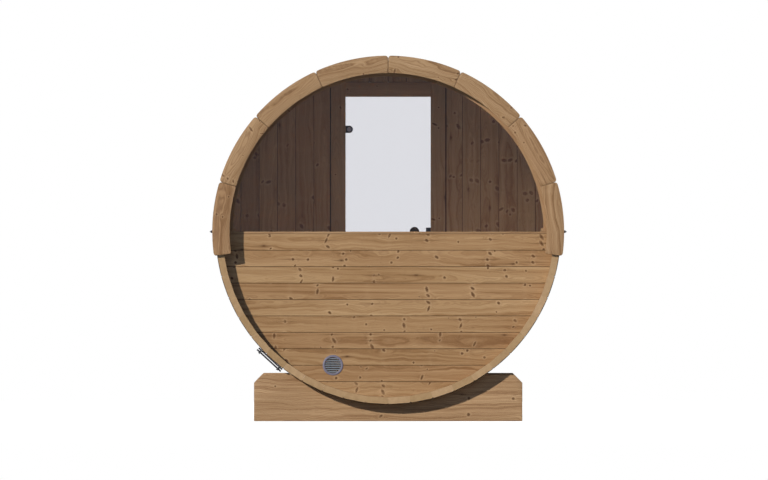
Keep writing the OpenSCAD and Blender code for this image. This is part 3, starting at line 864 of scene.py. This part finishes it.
# %% Make the solid timbers
def from_node(node, name, ease, axes, materials, tone, segments=2):
    """An eased copy of a CAD node. axes is XYZ in the order along, across and into."""
    bm = bmesh.new()
    bm.from_mesh(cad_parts[node].data)
    for layer in list(bm.loops.layers.uv):
        bm.loops.layers.uv.remove(layer)
    bmesh.ops.remove_doubles(bm, verts=bm.verts, dist=0.01 * MM)
    bmesh.ops.dissolve_limit(bm, angle_limit=math.radians(0.5), verts=bm.verts, edges=bm.edges)
    ease_edges(bm, ease, segments=segments)
    order = ["XYZ".index(letter) for letter in axes]
    low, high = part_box(node)
    middle = (low + high) / 2
    middle[order[2]] = low[order[2]]
    grown(bm, lambda co: [co[k] - middle[k] for k in order], tone)
    for face in bm.faces:
        face.material_index = len(materials) - 1 if abs(face.normal[order[0]]) > 0.95 else 0
    return mesh_object(name, [bm], *materials)


for node, axes, wood, slot, ease, tone in (
        ("window_sill", "XZY", FRAME_PINE, "frame_wood", 1.0, 0.86),
        ("door_post_hinge_side", "ZXY", FRAME_PINE, "frame_wood", 2.0, 0.35),
        ("door_post_latch_side", "ZXY", FRAME_PINE, "frame_wood", 2.0, 0.62),
        ("door_head", "XZY", FRAME_PINE, "frame_wood", 2.0, 0.21),
        ("door_threshold", "XZY", FRAME_PINE, "frame_wood", 2.0, 0.74),
        ("cradle_window_end", "XZY", SADDLE_PINE, "saddle_wood", 3.0, 0.68),
        ("cradle_door_end", "XZY", SADDLE_PINE, "saddle_wood", 3.0, 0.31)):
    place(from_node(node, node + "_timber", ease * MM, axes, [wood, END_PINE], tone), "barrel", slot,
          node)

# %% [markdown]
# ## Metal, glass and the turned knobs
# The hoops are rolled stainless strip, with fine lines along the strip from the rollers. Hinges,
# catch and tensioners are steel under a matt black powder coat, whose orange peel is a fraction
# of a millimetre. The vent is aluminium in a satin grey coat. The panes are toughened float
# glass: the window is clear, and the door is a little grey, so that it shows against the light.
# Real glass lets lamplight through to the boards behind, so a shadow ray passes the pane almost
# undimmed. Its mirror shine is kept low, or two panes in a row would veil the dark cabin.

# %% Metal finishes
PEEL = 0.9 * MM
ROLLING_LINES = 1400.0


def coated(name, colour, edge, rough):
    """A painted or coated metal: speckled colour, an uneven film and a fine relief."""
    material, tree, output = new_material(name)
    place_on = add(tree, "ShaderNodeTexCoord").outputs["Object"]
    peel = add(tree, "ShaderNodeTexNoise", {"Vector": place_on, "Scale": 1 / PEEL, "Detail": 2.0})
    cloud = add(tree, "ShaderNodeTexNoise",
                {"Vector": place_on, "Scale": 28.0, "Detail": 5.0, "Roughness": 0.6})
    body = add(tree, "ShaderNodeMix", {"Factor": cloud.outputs[0], 6: paint(colour), 7: paint(edge)},
               data_type="RGBA").outputs[2]
    gloss = first_output(tree, "ShaderNodeMapRange", cloud.outputs[0], 0.3, 0.7, rough - 0.06,
                         rough + 0.08)
    bump = add(tree, "ShaderNodeBump", {"Height": peel.outputs[0], "Strength": 0.2, "Distance": 0.1 * MM})
    shader = add(tree, "ShaderNodeBsdfPrincipled",
                 {"Base Color": body, "Roughness": gloss, "Normal": bump.outputs[0]})
    tree.links.new(shader.outputs[0], output.inputs[0])
    return material


def rolled_steel(name, colour, dull, rough):
    """Bare strip or bar, its fine lines running along the hoop."""
    material, tree, output = new_material(name)
    place_on = add(tree, "ShaderNodeTexCoord").outputs["Object"]
    lines = add(tree, "ShaderNodeMapping", {"Vector": place_on, "Scale": (6.0, ROLLING_LINES, 6.0)})
    roll = add(tree, "ShaderNodeTexNoise", {"Vector": lines.outputs[0], "Scale": 1.0, "Detail": 3.0})
    cloud = add(tree, "ShaderNodeTexNoise", {"Vector": place_on, "Scale": 9.0, "Detail": 5.0})
    body = add(tree, "ShaderNodeMix", {"Factor": cloud.outputs[0], 6: paint(colour), 7: paint(dull)},
               data_type="RGBA").outputs[2]
    gloss = first_output(tree, "ShaderNodeMapRange", roll.outputs[0], 0.3, 0.7, rough - 0.08,
                         rough + 0.12)
    bump = add(tree, "ShaderNodeBump",
               {"Height": roll.outputs[0], "Strength": 0.15, "Distance": 0.05 * MM})
    shader = add(tree, "ShaderNodeBsdfPrincipled",
                 {"Base Color": body, "Roughness": gloss, "Metallic": 1.0, "Normal": bump.outputs[0]})
    tree.links.new(shader.outputs[0], output.inputs[0])
    return material


# Hoop steel: a satin band that catches one bright line. Zinc: the same, duller and greyer.
HOOP_STEEL = rolled_steel("stainless_strip_rolled", "B9BBBE", "8E9094", 0.38)
ZINC_STEEL = rolled_steel("steel_bright_zinc", "A9ADB0", "7E8286", 0.42)
# Powder coat hides the metal's gleam: nearly black, with a broad soft highlight.
BLACK_STEEL = coated("steel_black_powder_coat", "3C3C46", "30303A", 0.62)
BOLT_STEEL = coated("steel_grey_passivated", "A3A1AD", "8C8A95", 0.5)
# The vent's coat is even and satin, cool beside the wood. The wire behind it only darkens gaps.
VENT_GREY = coated("aluminium_grey_satin_coat", "858B93", "787E86", 0.5)
WIRE = coated("wire_dark_blue_enamelled", "20222E", "161822", 0.5)
VENT_FACE = coated("aluminium_grey_flange_coat", "79758A", "6C6979", 0.5)

# %% Glass and turned wood
def float_glass(name, tint, through, shine):
    """Toughened clear glass. A shadow ray passes straight through it, a little dimmed."""
    material, tree, output = new_material(name)
    place_on = add(tree, "ShaderNodeTexCoord").outputs["Object"]
    wave = add(tree, "ShaderNodeTexNoise", {"Vector": place_on, "Scale": 2.2, "Detail": 1.0})
    bump = add(tree, "ShaderNodeBump",
               {"Height": wave.outputs[0], "Strength": 0.02, "Distance": 0.2 * MM})
    body = add(tree, "ShaderNodeBsdfPrincipled", {"Base Color": paint(tint), "Roughness": 0.0, "IOR": 1.5,
               "Specular IOR Level": shine, "Transmission Weight": 1.0, "Normal": bump.outputs[0]})
    clear = add(tree, "ShaderNodeBsdfTransparent", {"Color": paint(through)})
    path = add(tree, "ShaderNodeLightPath")
    mixed = add(tree, "ShaderNodeMixShader",
                {0: path.outputs["Is Shadow Ray"], 1: body.outputs[0], 2: clear.outputs[0]})
    tree.links.new(mixed.outputs[0], output.inputs[0])
    return material


def turned_wood(name, pale, dark):
    """A knob turned from dark hardwood and oiled: rings cut across, with fine turning lines."""
    material, tree, output = new_material(name)
    grain = add(tree, "ShaderNodeGroup", node_tree=GRAIN)
    for key, value in (("Ring spacing", 2.2 * MM), ("Knot share", 0.0)):
        grain.inputs[key].default_value = value
    fibre = first_output(tree, "MULTIPLY_ADD", grain.outputs["Ring"], 0.55, 0.15)
    body = add(tree, "ShaderNodeMix", {"Factor": fibre, 6: paint(pale), 7: paint(dark)},
               data_type="RGBA").outputs[2]
    bump = add(tree, "ShaderNodeBump",
               {"Height": grain.outputs["Fibre"], "Strength": 0.25, "Distance": 0.2 * MM})
    shader = add(tree, "ShaderNodeBsdfPrincipled",
                 {"Base Color": body, "Roughness": 0.42, "Coat Weight": 0.25, "Coat Roughness": 0.3,
                  "Normal": bump.outputs[0]})
    tree.links.new(shader.outputs[0], output.inputs[0])
    return material


WINDOW_GLASS = float_glass("glass_float_toughened_clear", "FAFBFB", "FFFFFF", 0.12)
DOOR_GLASS = float_glass("glass_float_toughened_grey", "EEEDF2", "E6E6EA", 0.2)
# Oil fills the pores of the turned knob, so it is dark with one soft, wide highlight.
KNOB_WOOD = turned_wood("alder_turned_oiled", "4A3527", "2A1C14")
for node, finish in (("window_glass", WINDOW_GLASS), ("door_glass", DOOR_GLASS),
                     ("hoop_window_end", HOOP_STEEL), ("hoop_door_end", HOOP_STEEL)):
    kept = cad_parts[node]
    kept.data.materials.clear()
    kept.data.materials.append(finish)

# %% [markdown]
# ## Turned parts
# Knobs, rods and bolt heads are all round, so one helper turns an outline of radius and
# height about an axis. The points on the axis are single, which closes the ends.

# %% Turn a profile
def circle(bm, r, z, count, most=1.0, hexagon=False):
    """A ring of points about Z. A hexagon's corners are cut back to most, a share of its radius."""
    made = []
    for k in range(count):
        t = 2 * math.pi * k / count
        reach = math.cos(math.pi / 6) / math.cos((t % (math.pi / 3)) - math.pi / 6) if hexagon else 1
        reach = r * min(reach, most)
        made.append(bm.verts.new((reach * math.cos(t), reach * math.sin(t), z)))
    return made


def turned(profile, segments=32, lay=Matrix()):
    """A closed lathe shape about Z from points of radius and height, first and last on the axis."""
    bm = bmesh.new()
    rings = [circle(bm, r, z, segments if r > 0 else 1) for r, z in profile]
    bridge(bm, zip(rings, rings[1:]))
    return turned_outwards(bm, lay)


def curve_through(points, between=6):
    """A smooth line through points, by Catmull and Rom."""
    ends = [points[0]] + points + [points[-1]]
    line = []
    for a, b, c, d in zip(ends, ends[1:], ends[2:], ends[3:]):
        for n in range(between):
            t = n / between
            line.append(tuple(0.5 * (2 * q + (r - p) * t + (2 * p - 5 * q + 4 * r - s) * t * t
                                     + (3 * q - p - 3 * r + s) * t ** 3)
                              for p, q, r, s in zip(a, b, c, d)))
    return line + [points[-1]]


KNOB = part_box("door_knob_inside")
KNOB_LEN = KNOB[1][1] - KNOB[0][1]
KNOB_R = (KNOB[1][0] - KNOB[0][0]) / 2
KNOB_BOLT_R = 5 * MM
back_from_face = Matrix.Rotation(math.radians(-90), 4, "X")
knob_middle = Vector(((KNOB[0][0] + KNOB[1][0]) / 2, 0, (KNOB[0][2] + KNOB[1][2]) / 2))
shape = [(0.55, 0), (0.44, 0.16), (0.5, 0.3), (0.84, 0.42), (0.985, 0.6), (0.93, 0.8), (0.62, 0.955),
         (0.3, 0.995)]
knob_line = [(r * KNOB_R, h * KNOB_LEN) for r, h in curve_through(shape)]
for side, name in ((-1, "inside"), (1, "outside")):
    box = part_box("door_knob_" + name)
    base = KNOB[1][1] if side < 0 else box[1][1] - KNOB_LEN
    on_door = Matrix.Translation((knob_middle.x, base, knob_middle.z))
    lay = on_door @ Matrix.Rotation(math.radians(-90 * side), 4, "X")
    knob = turned([(0, 0)] + knob_line + [(0, KNOB_LEN)], 40, lay)
    grown(knob, lambda co: (co.z - knob_middle.z, co.x - knob_middle.x, co.y - base), 0.4)
    parts = [knob]
    if side > 0:
        reach = base - box[0][1]
        bolt = turned([(0, 0), (KNOB_BOLT_R, 0), (KNOB_BOLT_R, reach), (0, reach)], 20,
                      Matrix.Translation((knob_middle.x, box[0][1], knob_middle.z)) @ back_from_face)
        parts.append(grown(bolt, lambda co: (0, 0, 0), 0.4))
    place(mesh_object("door_knob_" + name + "_turned", parts, KNOB_WOOD), "door", "knob_wood",
          "door_knob_" + name)

# %% [markdown]
# ## The vent
# A round vent low in the wall lets fresh air in by the stove. Its flange is a thin ring with a
# rounded lip, pressed to the boards, and its slats are blades set at a slant so that rain runs
# off. A small tree sets the blades one above the other and cuts each to the width of the circle
# where it stands, from the circle's own rule. The same tree, run with a thin wire, weaves the
# insect screen behind them: its wires lie across, and a copy turned a quarter stands upright.

# %% The blade tree
def blade_tree():
    tree = bpy.data.node_groups.new("louvre_blades", "GeometryNodeTree")
    given, shown = tree_inputs(tree, "Blade", {
        "Count": "Int", "Pitch": "Float", "Radius": "Float", "Slant": "Float",
        "Middle": "Vector", "Metal": "Material"}, "Blades")
    step = partial(first_output, tree)
    points = add(tree, "GeometryNodeMeshLine", {"Count": given["Count"], "Offset": (0, 0, 0)}).outputs[0]
    index = step("GeometryNodeInputIndex")
    last = step("SUBTRACT", given["Count"], 1.0)
    height = step("MULTIPLY", step("SUBTRACT", index, step("MULTIPLY", last, 0.5)), given["Pitch"])
    above = step("ShaderNodeCombineXYZ", 0.0, 0.0, height)
    place_at = step("ShaderNodeVectorMath", above, given["Middle"], operation="ADD")
    set_out = add(tree, "GeometryNodeSetPosition", {"Geometry": points, "Position": place_at}).outputs[0]
    radius = given["Radius"]
    reach = step("SQRT", step("SUBTRACT", step("MULTIPLY", radius, radius),
                              step("MULTIPLY", height, height)))
    size = step("ShaderNodeCombineXYZ", reach, 1.0, 1.0)
    turn = step("FunctionNodeEulerToRotation", step("ShaderNodeCombineXYZ", given["Slant"]))
    copies = add(tree, "GeometryNodeInstanceOnPoints",
                 {"Points": set_out, "Instance": given["Blade"], "Rotation": turn,
                  "Scale": size}).outputs[0]
    real = step("GeometryNodeRealizeInstances", copies)
    metal = add(tree, "GeometryNodeSetMaterial", {"Geometry": real, "Material": given["Metal"]})
    tree.links.new(metal.outputs[0], shown[0])
    return tree


BLADES = 7
BLADE_HALF_W, BLADE_HALF_T, BLADE_DEPTH, BLADE_SLANT = 5.2 * MM, 0.6 * MM, 6 * MM, math.radians(40)
WIRES, WIRE_PITCH, WIRE_HALF, SCREEN_DEPTH = 57, 1.7 * MM, 0.3 * MM, 15 * MM
INSIDE_SLEEVE = HOLE_R - 1.5 * MM
LOUVRES = blade_tree()
vent_front = VENT[0][1]


def strip(half_w, half_t):
    """A flat bar one metre to each side, for the tree to shorten."""
    return prism([(-1, -half_w), (1, -half_w), (1, half_w), (-1, half_w)], -half_t, half_t)


blades = mesh_object("vent_blades", [strip(BLADE_HALF_W, BLADE_HALF_T)])
blades_at = (VENT_X, vent_front + BLADE_DEPTH, VENT_Z + AXIS_Z)
grow(blades, LOUVRES, {"Count": BLADES, "Pitch": 2 * HOLE_R / (BLADES + 0.6), "Radius": INSIDE_SLEEVE,
                       "Slant": BLADE_SLANT, "Middle": blades_at, "Metal": VENT_GREY})
place(blades, "barrel", "vent_metal")
screen_at = Vector((VENT_X, vent_front + SCREEN_DEPTH, VENT_Z + AXIS_Z))
screen = mesh_object("vent_insect_screen", [strip(WIRE_HALF, WIRE_HALF)])
grow(screen, LOUVRES, {"Count": WIRES, "Pitch": WIRE_PITCH, "Radius": INSIDE_SLEEVE, "Slant": 0.0,
                       "Middle": screen_at, "Metal": WIRE})
wires = bmesh.new()
wires.from_mesh(screen.data)
upright = bmesh.ops.duplicate(wires, geom=wires.verts[:] + wires.edges[:] + wires.faces[:])["geom"]
quarter = Matrix.Translation((0, 2 * WIRE_HALF, 0)) @ Matrix.Rotation(math.pi / 2, 4, "Y")
bmesh.ops.transform(wires, matrix=quarter, space=Matrix.Translation(-screen_at),
                    verts=[v for v in upright if isinstance(v, bmesh.types.BMVert)])
wires.to_mesh(screen.data)
wires.free()
place(screen, "barrel", "vent_metal")
SLEEVE_T, SLEEVE_LEN = 1.6 * MM, 42 * MM
sleeve_r = HOLE_R - 0.3 * MM
depth = WINDOW_WALL[0][1] - vent_front
ring_line = [(sleeve_r - SLEEVE_T, depth), (sleeve_r - SLEEVE_T, 1.2 * MM), (sleeve_r, 0.2 * MM),
             (sleeve_r + 3 * MM, 0), (VENT_R - 2.4 * MM, 0.4 * MM), (VENT_R - 0.7 * MM, 1.2 * MM),
             (VENT_R, 2.6 * MM), (VENT_R, depth), (sleeve_r, depth), (sleeve_r, depth + SLEEVE_LEN),
             (sleeve_r - SLEEVE_T, depth + SLEEVE_LEN)]


def hollow_turned(loop, segments, lay):
    """A ring turned from a closed loop of radius and height."""
    bm = bmesh.new()
    rings = [circle(bm, r, z, segments) for r, z in loop]
    bridge(bm, [(rings[n - 1], ring) for n, ring in enumerate(rings)])
    return turned_outwards(bm, lay)


towards_wall = Matrix.Translation((VENT_X, vent_front, VENT_Z + AXIS_Z)) @ back_from_face
flange = mesh_object("vent_flange", [hollow_turned(ring_line, 64, towards_wall)], VENT_FACE, sharp=50)
place(flange, "barrel", "vent_metal", "vent_grille")

# %% [markdown]
# ## Hinges and catch
# Each hinge is a leaf screwed to the post, knuckles on a pin, and two plates with one round end
# bolted through the glass. The frame has their shapes, so they are eased copies. Heads are
# made once with a six-sided socket and set out by a tree on marked points, each turned by chance,
# because nobody lines screws up.

# %% The tree that sets out parts
FULL_TURN = 6.283


def set_out_tree():
    tree = bpy.data.node_groups.new("parts_on_marks", "GeometryNodeTree")
    given, shown = tree_inputs(tree, "Marks", {"Part": "Object", "Seed": "Int", "Metal": "Material"},
                               "Parts")
    step = partial(first_output, tree)
    part = add(tree, "GeometryNodeObjectInfo", {"Object": given["Part"]}).outputs["Geometry"]
    facing = add(tree, "GeometryNodeInputNamedAttribute", {"Name": "facing"}, data_type="FLOAT_VECTOR")
    along = next(o for o in facing.outputs if o.enabled and o.name == "Attribute")
    aligned = add(tree, "FunctionNodeAlignRotationToVector", {"Vector": along}, axis="Z").outputs[0]
    chance = add(tree, "FunctionNodeRandomValue", {"Seed": given["Seed"]}, data_type="FLOAT")
    spin = step("MULTIPLY", next(o for o in chance.outputs if o.enabled), FULL_TURN)
    spin = step("FunctionNodeEulerToRotation", step("ShaderNodeCombineXYZ", 0.0, 0.0, spin))
    spun = add(tree, "FunctionNodeRotateRotation", {"Rotation": aligned, "Rotate By": spin},
               rotation_space="LOCAL").outputs[0]
    copies = add(tree, "GeometryNodeInstanceOnPoints",
                 {"Points": given["Marks"], "Instance": part, "Rotation": spun}).outputs[0]
    real = step("GeometryNodeRealizeInstances", copies)
    metal = add(tree, "GeometryNodeSetMaterial", {"Geometry": real, "Material": given["Metal"]})
    tree.links.new(metal.outputs[0], shown[0])
    return tree


SET_OUT = set_out_tree()
HEAD_SEGMENTS, SOCKET_MOST = 24, 2.0


def capped(bm, loops, lay=Matrix()):
    """A stack of rings joined into a solid, its first and last ring filled in."""
    bridge(bm, zip(loops, loops[1:]))
    bm.faces.new(loops[0][::-1])
    bm.faces.new(loops[-1])
    return turned_outwards(bm, lay)


def socket_head(r, height, socket_r):
    """A round head with a six-sided socket, standing on Z = 0."""
    bm = bmesh.new()
    loops = [circle(bm, reach, z, HEAD_SEGMENTS)
             for reach, z in ((r, 0), (r, height * 0.55), (r * 0.86, height))]
    loops += [circle(bm, reach, z, HEAD_SEGMENTS, SOCKET_MOST, True)
              for reach, z in ((socket_r, height), (socket_r * 0.96, height * 0.4))]
    return capped(bm, loops)


def heads(name, part, marks, material, seed):
    """Sets a head on each mark, a place with the way it faces."""
    pattern = mesh_object("pattern", [part])
    mesh = bpy.data.meshes.new(name)
    mesh.from_pydata([m[0] for m in marks], [], [])
    facing = mesh.attributes.new("facing", "FLOAT_VECTOR", "POINT")
    facing.data.foreach_set("vector", [x for m in marks for x in m[1]])
    made = bpy.data.objects.new(name, mesh)
    bpy.context.scene.collection.objects.link(made)
    grow(made, SET_OUT, {"Part": pattern, "Seed": seed, "Metal": material})
    bpy.data.objects.remove(pattern)
    return made

# %% Make the hinges and the catch
HARDWARE = "black_hardware"
for node, name, body, ease, segments in (
        ("door_hinge_leaves", "door_hinge_leaf_plates", "barrel", 0.7, 2),
        ("door_hinge_clamps", "door_hinge_glass_clamps", "door", 0.8, 2),
        ("door_catch", "door_catch_block", "barrel", 2.0, 3)):
    piece = from_node(node, name, ease * MM, "ZXY", [BLACK_STEEL], 0.5, segments=segments)
    place(piece, body, HARDWARE, node)
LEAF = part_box("door_hinge_leaves")
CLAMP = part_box("door_hinge_clamps")
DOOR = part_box("door_glass")
HINGE_HALF, LEAF_LIFT, PLATE_T = 30 * MM, 3 * MM, 8 * MM
SCREW_IN, SCREW_PITCH, SCREW_ROW, BOLT_IN = 9 * MM, 24 * MM, 20 * MM, 21.5 * MM
hinge_rise = (LEAF[1][2] - LEAF[0][2]) / 2 - HINGE_HALF
leaf_face = DOOR[1][1] + LEAF_LIFT
leaf_marks = [((LEAF[0][0] + SCREW_IN + SCREW_PITCH * column, leaf_face,
                AXIS_Z + side * hinge_rise + SCREW_ROW * row), (0, 1, 0))
              for side in (-1, 1) for row in (-1, 1) for column in (0, 1)]
screw = socket_head(4.2 * MM, 1.5 * MM, 2.2 * MM)
place(heads("door_hinge_screws", screw, leaf_marks, ZINC_STEEL, 3), "barrel", HARDWARE)
clamp_x = CLAMP[1][0] - BOLT_IN
bolt_marks = [((clamp_x, DOOR[face][1] + sign * PLATE_T, AXIS_Z + side * hinge_rise), (0, sign, 0))
              for side in (-1, 1) for face, sign in ((0, -1), (1, 1))]
bolt = socket_head(13.5 * MM, 2.2 * MM, 3.5 * MM)
place(heads("door_clamp_bolts", bolt, bolt_marks, BOLT_STEEL, 5), "door", HARDWARE)

# %% [markdown]
# ## Tensioners and hoop joints
# Low on one side each hoop is drawn together by a threaded rod through two lugs, and at half
# height on both sides it has a small bolted joint. The rod's thread is a real ridge every
# 1.5 mm, turned as one closed shape. Nuts have the chamfer that lets a spanner slip on.

# %% Make the tensioners
TENSION = math.radians(47.2)
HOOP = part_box("hoop_window_end")
HOOP_Y = (HOOP[0][1] + HOOP[1][1]) / 2
HOOP_OUT = HOOP[1][0]
LUG_SPAN, ROD_LEN, ROD_R = 136 * MM, 189 * MM, 5 * MM
LUG_T, LUG_W, NUT_T, NUT_R = 4 * MM, 24 * MM, 8 * MM, 9 * MM
ROD_LIFT, LUG_RISE = 16 * MM, 28 * MM
rod_height = HOOP_OUT + ROD_LIFT
lug_top = HOOP_OUT + LUG_RISE


def nut(r, thickness, lay):
    """A hexagon nut with chamfered corners on both faces."""
    bm = bmesh.new()
    rows = ((0, 0.9), (thickness * 0.16, 1.0), (thickness * 0.84, 1.0), (thickness, 0.9))
    return capped(bm, [circle(bm, r, z, HEAD_SEGMENTS, most, True) for z, most in rows], lay)


def thread_line(r, length, pitch=1.5 * MM, depth=0.55 * MM):
    """The outline of a threaded rod, with a chamfer at each end."""
    line = [(0, 0), (r - 1.2 * MM, 0), (r - depth, 0.8 * MM)]
    turns = int((length - 3 * MM) / pitch)
    start = (length - turns * pitch) / 2
    for n in range(turns):
        line += [(r - depth, start + n * pitch), (r, start + (n + 0.5) * pitch)]
    return line + [(r - depth, length - 0.8 * MM), (r - 1.2 * MM, length), (0, length)]


def tensioner():
    """Rod, nuts and lugs drawn at the top of the barrel, with the rod along X."""
    along_x = Matrix.Rotation(math.radians(90), 4, "Y")
    rod = turned(thread_line(ROD_R, ROD_LEN), 14,
                 Matrix.Translation((-ROD_LEN / 2, 0, rod_height)) @ along_x)
    lugs = []
    foot = LUG_SPAN / 2 - LUG_T / 2
    low = math.sqrt(HOOP_OUT ** 2 - foot ** 2) + 0.05 * MM
    for side in (-1, 1):
        outline = [(-LUG_W / 2, low), (LUG_W / 2, low)]
        for n in range(13):
            t = math.pi * n / 12
            outline.append((LUG_W / 2 * math.cos(t), lug_top - LUG_W / 2 + LUG_W / 2 * math.sin(t)))
        start = side * LUG_SPAN / 2 - LUG_T / 2
        lug = prism(outline, start, start + LUG_T)
        turned_outwards(lug, Matrix(((0, 0, 1, 0), (1, 0, 0, 0), (0, 1, 0, 0), (0, 0, 0, 1))))
        ease_edges(lug, 0.6 * MM, least=50)
        lugs.append(lug)
    nuts = []
    for side in (-1, 1):
        seat = side * (LUG_SPAN + LUG_T) / 2
        start = seat if side > 0 else seat - NUT_T
        nuts.append(nut(NUT_R, NUT_T, Matrix.Translation((start, 0, rod_height)) @ along_x))
    return rod, lugs, nuts


rods, lug_plates = [], []
for end in (-1, 1):
    on_axis = Matrix.Translation((0, end * abs(HOOP_Y), AXIS_Z))
    lay = on_axis @ Matrix.Rotation(-math.pi / 2 - TENSION, 4, "Y")
    rod, lugs, nuts = tensioner()
    for part in [rod, *nuts, *lugs]:
        part.transform(lay)
    rods += [rod, *nuts]
    lug_plates += lugs
place(mesh_object("hoop_tensioner_rods", rods, BLACK_STEEL), "barrel", HARDWARE, "hoop_tensioners")
place(mesh_object("hoop_tensioner_lugs", lug_plates, ZINC_STEEL), "barrel", HARDWARE)
joint_plates = from_node("hoop_joints", "hoop_joint_plates", 0.5 * MM, "XZY", [BLACK_STEEL], 0.5)
place(joint_plates, "barrel", HARDWARE, "hoop_joints")

# %% [markdown]
# ## Floor, light and camera
# A floor takes the shadow. Its plain grey is lifted to white by a glow that only the camera sees,
# so that it looks pale but throws little light up under the barrel. One key light comes from the
# upper left in front, low enough for the ring to throw its crescent on the wall. A wide, weak
# light from straight in front fills the shade, and panes don't mirror it. A light from behind
# shapes the door end and one side. A dim cool lamp stands in the cabin for the light that
# bounces about in there, and only wood sees it.
# The surroundings are white where the camera looks at them, straight or through a pane, weaker
# in a mirror, because two panes would lay a veil over the cabin, and dim where they light the
# object. The lens is very long, so the view is as good as parallel.

# %% Stage
FLOOR_HALF, FLOOR_GLOW, MIRRORED_SHARE = 14, 0.86, 0.1
floor_bm = bmesh.new()
bmesh.ops.create_grid(floor_bm, x_segments=2, y_segments=2, size=FLOOR_HALF)
floor = mesh_object("floor", [floor_bm])
material, tree, output = new_material("studio_floor_pale")
floor_place = add(tree, "ShaderNodeTexCoord").outputs["Object"]
grime = add(tree, "ShaderNodeTexNoise", {"Vector": floor_place, "Scale": 0.4})
tint = add(tree, "ShaderNodeMix", {"Factor": grime.outputs[0], 6: paint("9A9A9A"), 7: paint("9E9E9E")},
           data_type="RGBA").outputs[2]
matt = add(tree, "ShaderNodeBsdfDiffuse", {"Color": tint})
seen = add(tree, "ShaderNodeLightPath").outputs["Is Camera Ray"]
glow = first_output(tree, "ShaderNodeEmission", (1, 1, 1, 1),
                    first_output(tree, "MULTIPLY", seen, FLOOR_GLOW))
tree.links.new(first_output(tree, "ShaderNodeAddShader", matt.outputs[0], glow), output.inputs[0])
floor.data.materials.append(material)

world = bpy.data.worlds.new("surroundings")
bpy.context.scene.world = world
world.use_nodes = True
sky = world.node_tree
sky.nodes.clear()
step = partial(first_output, sky)
seen = add(sky, "ShaderNodeLightPath").outputs
through = step("MULTIPLY", seen["Is Transmission Ray"], step("LESS_THAN", seen["Glossy Depth"], 0.5))
mirrored = step("MULTIPLY_ADD", seen["Is Glossy Ray"], MIRRORED_SHARE, through)
looked_at = step("MAXIMUM", seen["Is Camera Ray"], mirrored)
fill = add(sky, "ShaderNodeBackground", {"Color": (0.42, 0.64, 1.0, 1), "Strength": 0.13})
white = add(sky, "ShaderNodeBackground", {"Color": (1, 1, 1, 1), "Strength": 1.0})
both = add(sky, "ShaderNodeMixShader", {0: looked_at, 1: fill.outputs[0], 2: white.outputs[0]})
add(sky, "ShaderNodeOutputWorld", {0: both.outputs[0]})


def lamp(name, direction, strength, colour, angle, mirrored=True):
    """A distant lamp that shines along a direction, its size an angle in degrees."""
    data = bpy.data.lights.new(name, "SUN")
    data.energy, data.color, data.angle = strength, colour, math.radians(angle)
    made = bpy.data.objects.new(name, data)
    bpy.context.scene.collection.objects.link(made)
    made.rotation_mode = "QUATERNION"
    made.rotation_quaternion = Vector(direction).to_track_quat("-Z", "Y")
    made.visible_glossy = made.visible_transmission = mirrored


lamp("key", (0.70, 1.0, -0.52), 3.32, (1.0, 0.95, 0.84), 1.5)
lamp("front", (0.05, 1.0, -0.05), 0.46, (0.47, 0.67, 1.0), 40.0, mirrored=False)
lamp("back", (-0.9, -0.8, -0.7), 2.5, (0.95, 0.97, 1.0), 12.0)
CABIN_LAMP_AT = (0, -0.6, AXIS_Z + 0.25)
cabin_light = bpy.data.lights.new("cabin", "AREA")
cabin_light.energy, cabin_light.color, cabin_light.size = 4.1, (0.66, 0.78, 1.0), 1.2
cabin = bpy.data.objects.new("cabin", cabin_light)
bpy.context.scene.collection.objects.link(cabin)
cabin.location = CABIN_LAMP_AT
cabin.rotation_euler = (math.radians(90), 0, 0)
cabin.visible_camera = cabin.visible_glossy = cabin.visible_transmission = False

# %% Camera
FRAME_WIDTH = 4.48512
LENS, SENSOR = 1000, 36
VIEW_LEFT, VIEW_BELOW = 24.5 * MM, 49 * MM
camera = bpy.data.objects.new("camera", bpy.data.cameras.new("camera"))
bpy.context.scene.collection.objects.link(camera)
camera.data.lens, camera.data.sensor_width = LENS, SENSOR
distance = FRAME_WIDTH * LENS / SENSOR
camera.location = (-VIEW_LEFT, FASCIA[0][1] - distance, AXIS_Z - VIEW_BELOW)
camera.rotation_euler = (math.radians(90), 0, 0)
camera.data.clip_start, camera.data.clip_end = 1, 400
bpy.context.scene.camera = camera
bpy.context.scene.view_settings.view_transform = "Standard"
print("camera distance", round(distance, 2))
